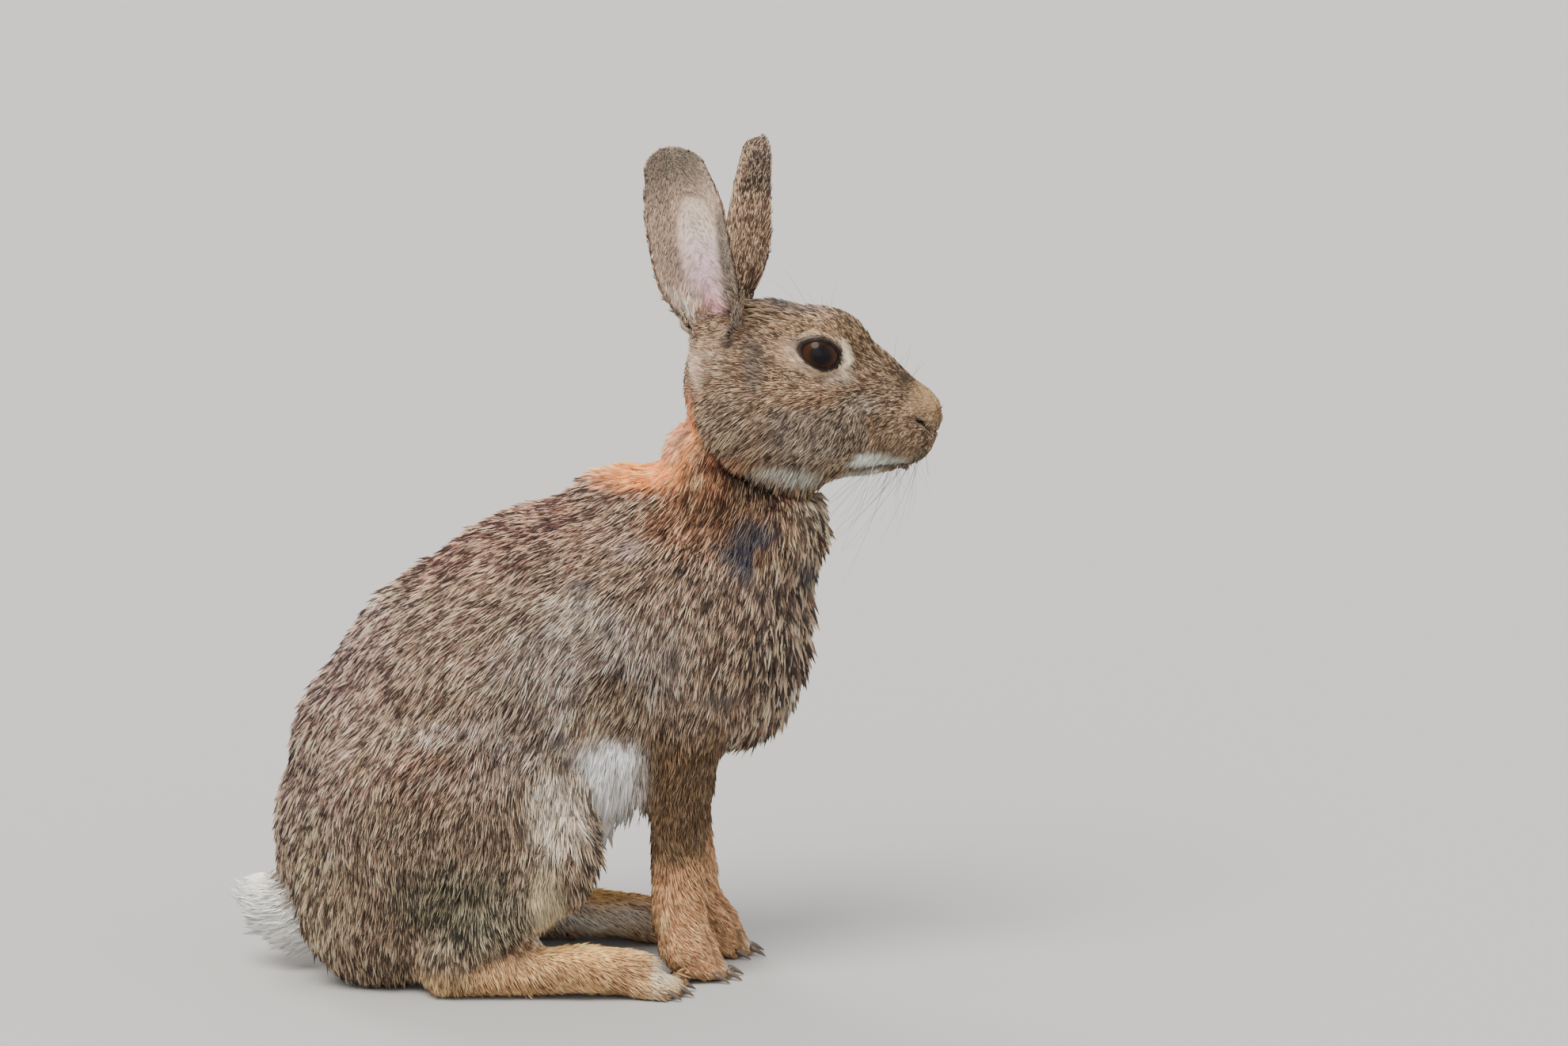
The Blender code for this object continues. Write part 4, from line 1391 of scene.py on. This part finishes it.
def grow_coat(name, skin, chart, chosen, count, seed, material, slot="agouti_fur"):
    """One piece of the coat, of solid tufts over part of the skin."""
    rng = np.random.default_rng(seed)
    count = int(count * THINNER)
    at = sow(skin, chosen, count, rng)
    roots = at(skin.points)
    locks = find_locks(roots, rng, LOCK)
    points, shade = shape_tufts(skin, at, roots, locks, rng)
    ticks = find_locks(roots, rng, TICK)
    colours = tuft_colours(at(skin.tuft_colour), at(skin.contrast), at(skin.hollow), locks, ticks, rng)
    # painted shade under the jaw: the tufts there are darkened, least at their tips
    colours *= 1 - at(skin.under)[:, None, None] * np.array([[1], [0.95], [0.95], [0.6]])
    faces = (np.arange(count) * 4)[:, None, None] + np.array([[0, 3, 1], [0, 2, 3], [0, 1, 2], [3, 2, 1]])
    obj = mesh_from_arrays(name, points.reshape(-1, 3), faces.reshape(-1, 3))
    store_colours(obj.data, colours.reshape(-1, 3))
    obj.data.shade_smooth()
    obj.data.normals_split_custom_set_from_vertices(units(shade.reshape(-1, 3)).astype(np.float32))
    add_bake_map(obj.data, chart.places(roots))
    dress(obj, material, slot)


def add_bake_map(mesh, spots):
    """Gives each tuft a patch of the bake round its root's place in the chart."""
    patch = np.array([(-0.5, 0), (0, 0.5), (0, -0.5), (0.5, 0)]) * BAKE_PATCH
    spots = (spots[:, None, :] + patch).reshape(-1, 2)
    layer = mesh.uv_layers.new(name="OFBake")
    loops = read_rows(mesh.loops, "vertex_index", kind=np.int32)
    layer.data.foreach_set("uv", spots[loops].astype(np.float32).ravel())


def tuft_colours(colour, contrast, hollow, locks, ticks, rng):
    """Wild hair is slate at its root and banded above: each tuft ends in cream, brown or black, and
    most tufts of one tick end in the same."""
    count = len(colour)
    kind = np.where(rng.random(count) < 0.85, rng.random(count)[ticks], rng.random(count))
    tone = rng.normal(0, 0.13, count)
    tone = tone + 0.24 * rng.normal(0, 1, count)[ticks] + 0.2 * rng.normal(0, 1, count)[locks]
    colour = colour * np.exp(tone * (0.35 + 0.65 * contrast))[:, None]
    slate = np.array((0.013, 0.013, 0.019))
    root = mix(colour * 0.7, colour * 0.12 + slate, contrast)
    cream = colour * 1.25 + np.array((0.50, 0.385, 0.23))
    brown = colour * np.array((0.95, 0.82, 0.72))
    black = colour * 0.10 + slate
    is_cream, is_black = (kind > 0.61)[:, None], (kind < 0.42)[:, None]
    middle = np.where(is_black, brown * 0.3, brown * 0.6)
    tip = np.where(is_cream, cream, np.where(is_black, black, brown))
    middle = mix(colour, middle, contrast)
    tip = mix(colour * 1.15, tip, contrast)
    tip = mix(tip, mix(tip, (0.95, 0.86, 0.74), 0.4), hollow)
    return np.clip(np.stack([root, middle, middle, tip], axis=1), 0.003, 0.97)


def mesh_from_arrays(name, points, faces):
    """Joins thousands of like tufts in one mesh."""
    mesh = bpy.data.meshes.new(name)
    mesh.vertices.add(len(points))
    mesh.vertices.foreach_set("co", (points * MM).astype(np.float32).ravel())
    mesh.loops.add(faces.size)
    mesh.loops.foreach_set("vertex_index", faces.astype(np.int32).ravel())
    mesh.polygons.add(len(faces))
    mesh.polygons.foreach_set("loop_start", np.arange(0, faces.size, 3, dtype=np.int32))
    mesh.update(calc_edges=True)
    return put_in_scene(name, mesh)


def grow_all(skin, chart):
    material = coat_finish()
    region = skin.regions
    right = skin.points[:, 1] < 0
    ear = region["ear"] > 0.5
    head = (region["head"] > 0.5) & ~ear
    tail = region["tail"] > 0.5
    feet = region["forepaw"] + region["hindfoot"] + region["foreleg"] > 0.5
    haunch = (region["hindleg"] > 0.5) & ~feet
    neck = (region["neck"] > 0.5) & ~head
    rest = ~(ear | head | tail | feet | haunch | neck)
    grow_coat("coat_face_right", skin, chart, head & right, 49500, 11, material)
    grow_coat("coat_face_left", skin, chart, head & ~right, 49500, 12, material)
    grow_coat("coat_ears", skin, chart, ear, 36000, 13, material, "ear_fur")
    grow_coat("coat_neck", skin, chart, neck, 24000, 14, material)
    grow_coat("coat_body_right", skin, chart, rest & right, 48000, 15, material)
    grow_coat("coat_body_left", skin, chart, rest & ~right, 48000, 16, material)
    grow_coat("coat_haunch_right", skin, chart, haunch & right, 30000, 17, material)
    grow_coat("coat_haunch_left", skin, chart, haunch & ~right, 30000, 18, material)
    grow_coat("coat_legs_and_feet", skin, chart, feet, 42000, 19, material, "buff_fur")
    grow_coat("coat_tail", skin, chart, tail, 6500, 20, material, "white_fur")


# ---------------------------------------------------------------- eyes, lids, claws and whiskers


def add_eye(side):
    """A ball whose front bulges a little as a cornea."""
    eye = EYES[side]
    bm = bmesh.new()
    turn = Vector(eye.axis).to_track_quat("Z", "Y").to_matrix().to_4x4()
    place = Matrix.Translation(Vector(eye.centre) * MM) @ turn
    bmesh.ops.create_uvsphere(bm, u_segments=64, v_segments=40, radius=eye.radius * MM, matrix=place)
    for vert in bm.verts:
        off = vert.co / MM - Vector(eye.centre)
        front = max(off.dot(Vector(eye.axis)) / eye.radius, 0)
        vert.co += Vector(eye.axis) * 0.35 * MM * max((front - 0.6) / 0.4, 0) ** 1.5
    dress_mesh(f"eyeball_{side}", bm, eye_finish(side), "eye", f"eye_{side}")


def lid_edge(eye, turn, out):
    """A point on the edge of the lids, at an angle round the eye's opening."""
    across, rise = math.cos(turn), math.sin(turn)
    low, high = 0.0, 1.2
    for _ in range(24):
        reach = (low + high) / 2
        flat = eye.ahead * (reach * across) + eye.up * (reach * rise)
        depth = math.sqrt(max(1 - min(float(flat @ flat), 0.98), 0))
        spot = eye.centre + (flat + eye.axis * depth) * eye.radius
        if lid_opening(eye, spot[None])[0] < 1.0:
            low = reach
        else:
            high = reach
    return eye.centre + unit(spot - eye.centre) * (eye.radius + out)


LID_STEPS = 56


def add_lids(side, material):
    """The bare dark rims of both lids, in one ring that sits on the ball."""
    eye = EYES[side]
    bm = bmesh.new()
    turns = [math.tau * step / LID_STEPS for step in range(LID_STEPS)]
    rim = [lid_edge(eye, turn, 0.15) for turn in turns]
    radii = [0.34 + 0.2 * max(math.sin(turn), 0) + 0.15 * max(math.cos(turn), 0) ** 8 for turn in turns]
    tube(bm, rim, radii, sides=10, closed=True)
    dress_mesh(f"lid_rims_{side}", bm, material, "eye")


def add_claws(material):
    """A claw curves down and tapers out of the end of each toe."""
    bm = bmesh.new()
    for end, lean, round_end in toe_ends():
        start = end + lean * (round_end - 2.6)
        path = [start + lean * (1.25 * step) + Vector((0, 0, -0.05 * step**2)) for step in range(6)]
        tube(bm, path, [1.0, 1.15, 1.0, 0.78, 0.5, 0.12], sides=8)
    dress_mesh("claws", bm, material, "agouti_fur")


# A row of whiskers: how many, where its first and last grow on the left cheek, which way they start,
# how long they are, and how far they sag.
Row = namedtuple("Row", "name count start end way length sag")
WHISKERS = [
    Row("top row", 5, (116, 7.6, 205), (107, 10.4, 206), (-0.3, 0.9, -0.1), 26, 5),
    Row("upper row", 6, (119, 7.6, 201.5), (106, 11.8, 202), (-0.1, 0.7, -0.6), 38, 8),
    Row("middle row", 6, (120, 7.8, 198), (106, 12.0, 198), (-0.2, 0.5, -0.85), 46, 6),
    Row("lower row", 6, (120, 7.0, 194.5), (107, 11.2, 194.5), (-0.25, 0.3, -0.95), 44, 4),
    Row("lip row", 4, (117, 6.0, 192.5), (109, 9.0, 192.5), (0.15, 0.25, -1), 22, 2),
]
BROWS = [
    Row("brow", 4, (88, 15, 243.5), (80, 15.5, 244.5), (-0.1, 0.3, 1), 20, 3),
    Row("nose hairs", 3, (116, 3.5, 220), (110, 4.5, 225), (0.6, 0.25, 0.8), 15, 1),
    Row("cheek hairs", 2, (72, 25, 212), (68, 25.5, 208), (-0.1, 0.9, -0.4), 18, 4),
]


HAIR_POINTS = 8
STUB_POINTS = 4  # how many of them lie in the part of a pale hair nearest its root


def hair(root, way, length, sag, curl):
    """A long hair that leaves straight and then sags, as points with a radius at each."""
    thick = 0.08 if length > 26 else 0.055
    shares = [step / (HAIR_POINTS - 1) for step in range(HAIR_POINTS)]
    path = [root + way * (length * share) + Vector((curl, 0, -sag)) * share**2 for share in shares]
    return path, [thick * (1 - 0.8 * share**1.3) for share in shares]


def whiskers(skin, rng):
    """For each long hair of the face: its points, their radii and whether it is dark."""
    tree = nearest_tree(skin.points)
    for side in (-1, 1):
        for row in WHISKERS + BROWS:
            for step in range(row.count):
                at = step / max(row.count - 1, 1)
                root = Vector(row.start).lerp(Vector(row.end), at)
                root.y *= side
                root = Vector(skin.points[tree.find(root)[1]])
                way = Vector(row.way) + Vector(rng.normal(0, 0.17, 3))
                way.y *= side
                way.x -= 0.25 * at
                length = row.length * (0.7 + 0.35 * at) * rng.uniform(0.6, 1.2)
                curl = rng.normal(0, 4) - 0.2 * length
                is_dark = rng.random() < 0.62 or row in BROWS
                yield *hair(root, way.normalized(), length, row.sag, curl), is_dark


def add_whiskers(skin, pale, dark):
    """Of the pale hairs only the outer part is there, and short dark stubs grow among the dark ones.
    The two pieces are drawn apart, so a stub and a pale part don't join."""
    rng = np.random.default_rng(5)
    for name, material in (("whiskers_pale", pale), ("whiskers_dark", dark)):
        bm = bmesh.new()
        for path, radii, is_dark in whiskers(skin, rng):
            if is_dark and material is pale:
                continue
            if is_dark:
                part = slice(None)
            else:
                part = slice(STUB_POINTS) if material is dark else slice(STUB_POINTS - 1, None)
            tube(bm, path[part], radii[part], sides=5)
        dress_mesh(name, bm, material, "agouti_fur")


# ---------------------------------------------------------------- all together


def main():
    add_camera()
    add_light()
    add_floor()
    skin = Skin()
    chart = Chart(skin)
    grow_all(skin, chart)
    rims = plain_finish("lid rims", (0.012, 0.008, 0.007), 0.55, 0.2, grain_scale=500.0)
    horn = plain_finish("claw horn", (0.12, 0.08, 0.055), 0.35, 0.5, grain_scale=300.0)
    for side in EYES:
        add_eye(side)
        add_lids(side, rims)
    add_claws(horn)
    add_whiskers(
        skin,
        plain_finish("pale whiskers", (0.72, 0.69, 0.62), 0.35),
        plain_finish("dark whiskers", (0.04, 0.03, 0.025), 0.35),
    )


main()
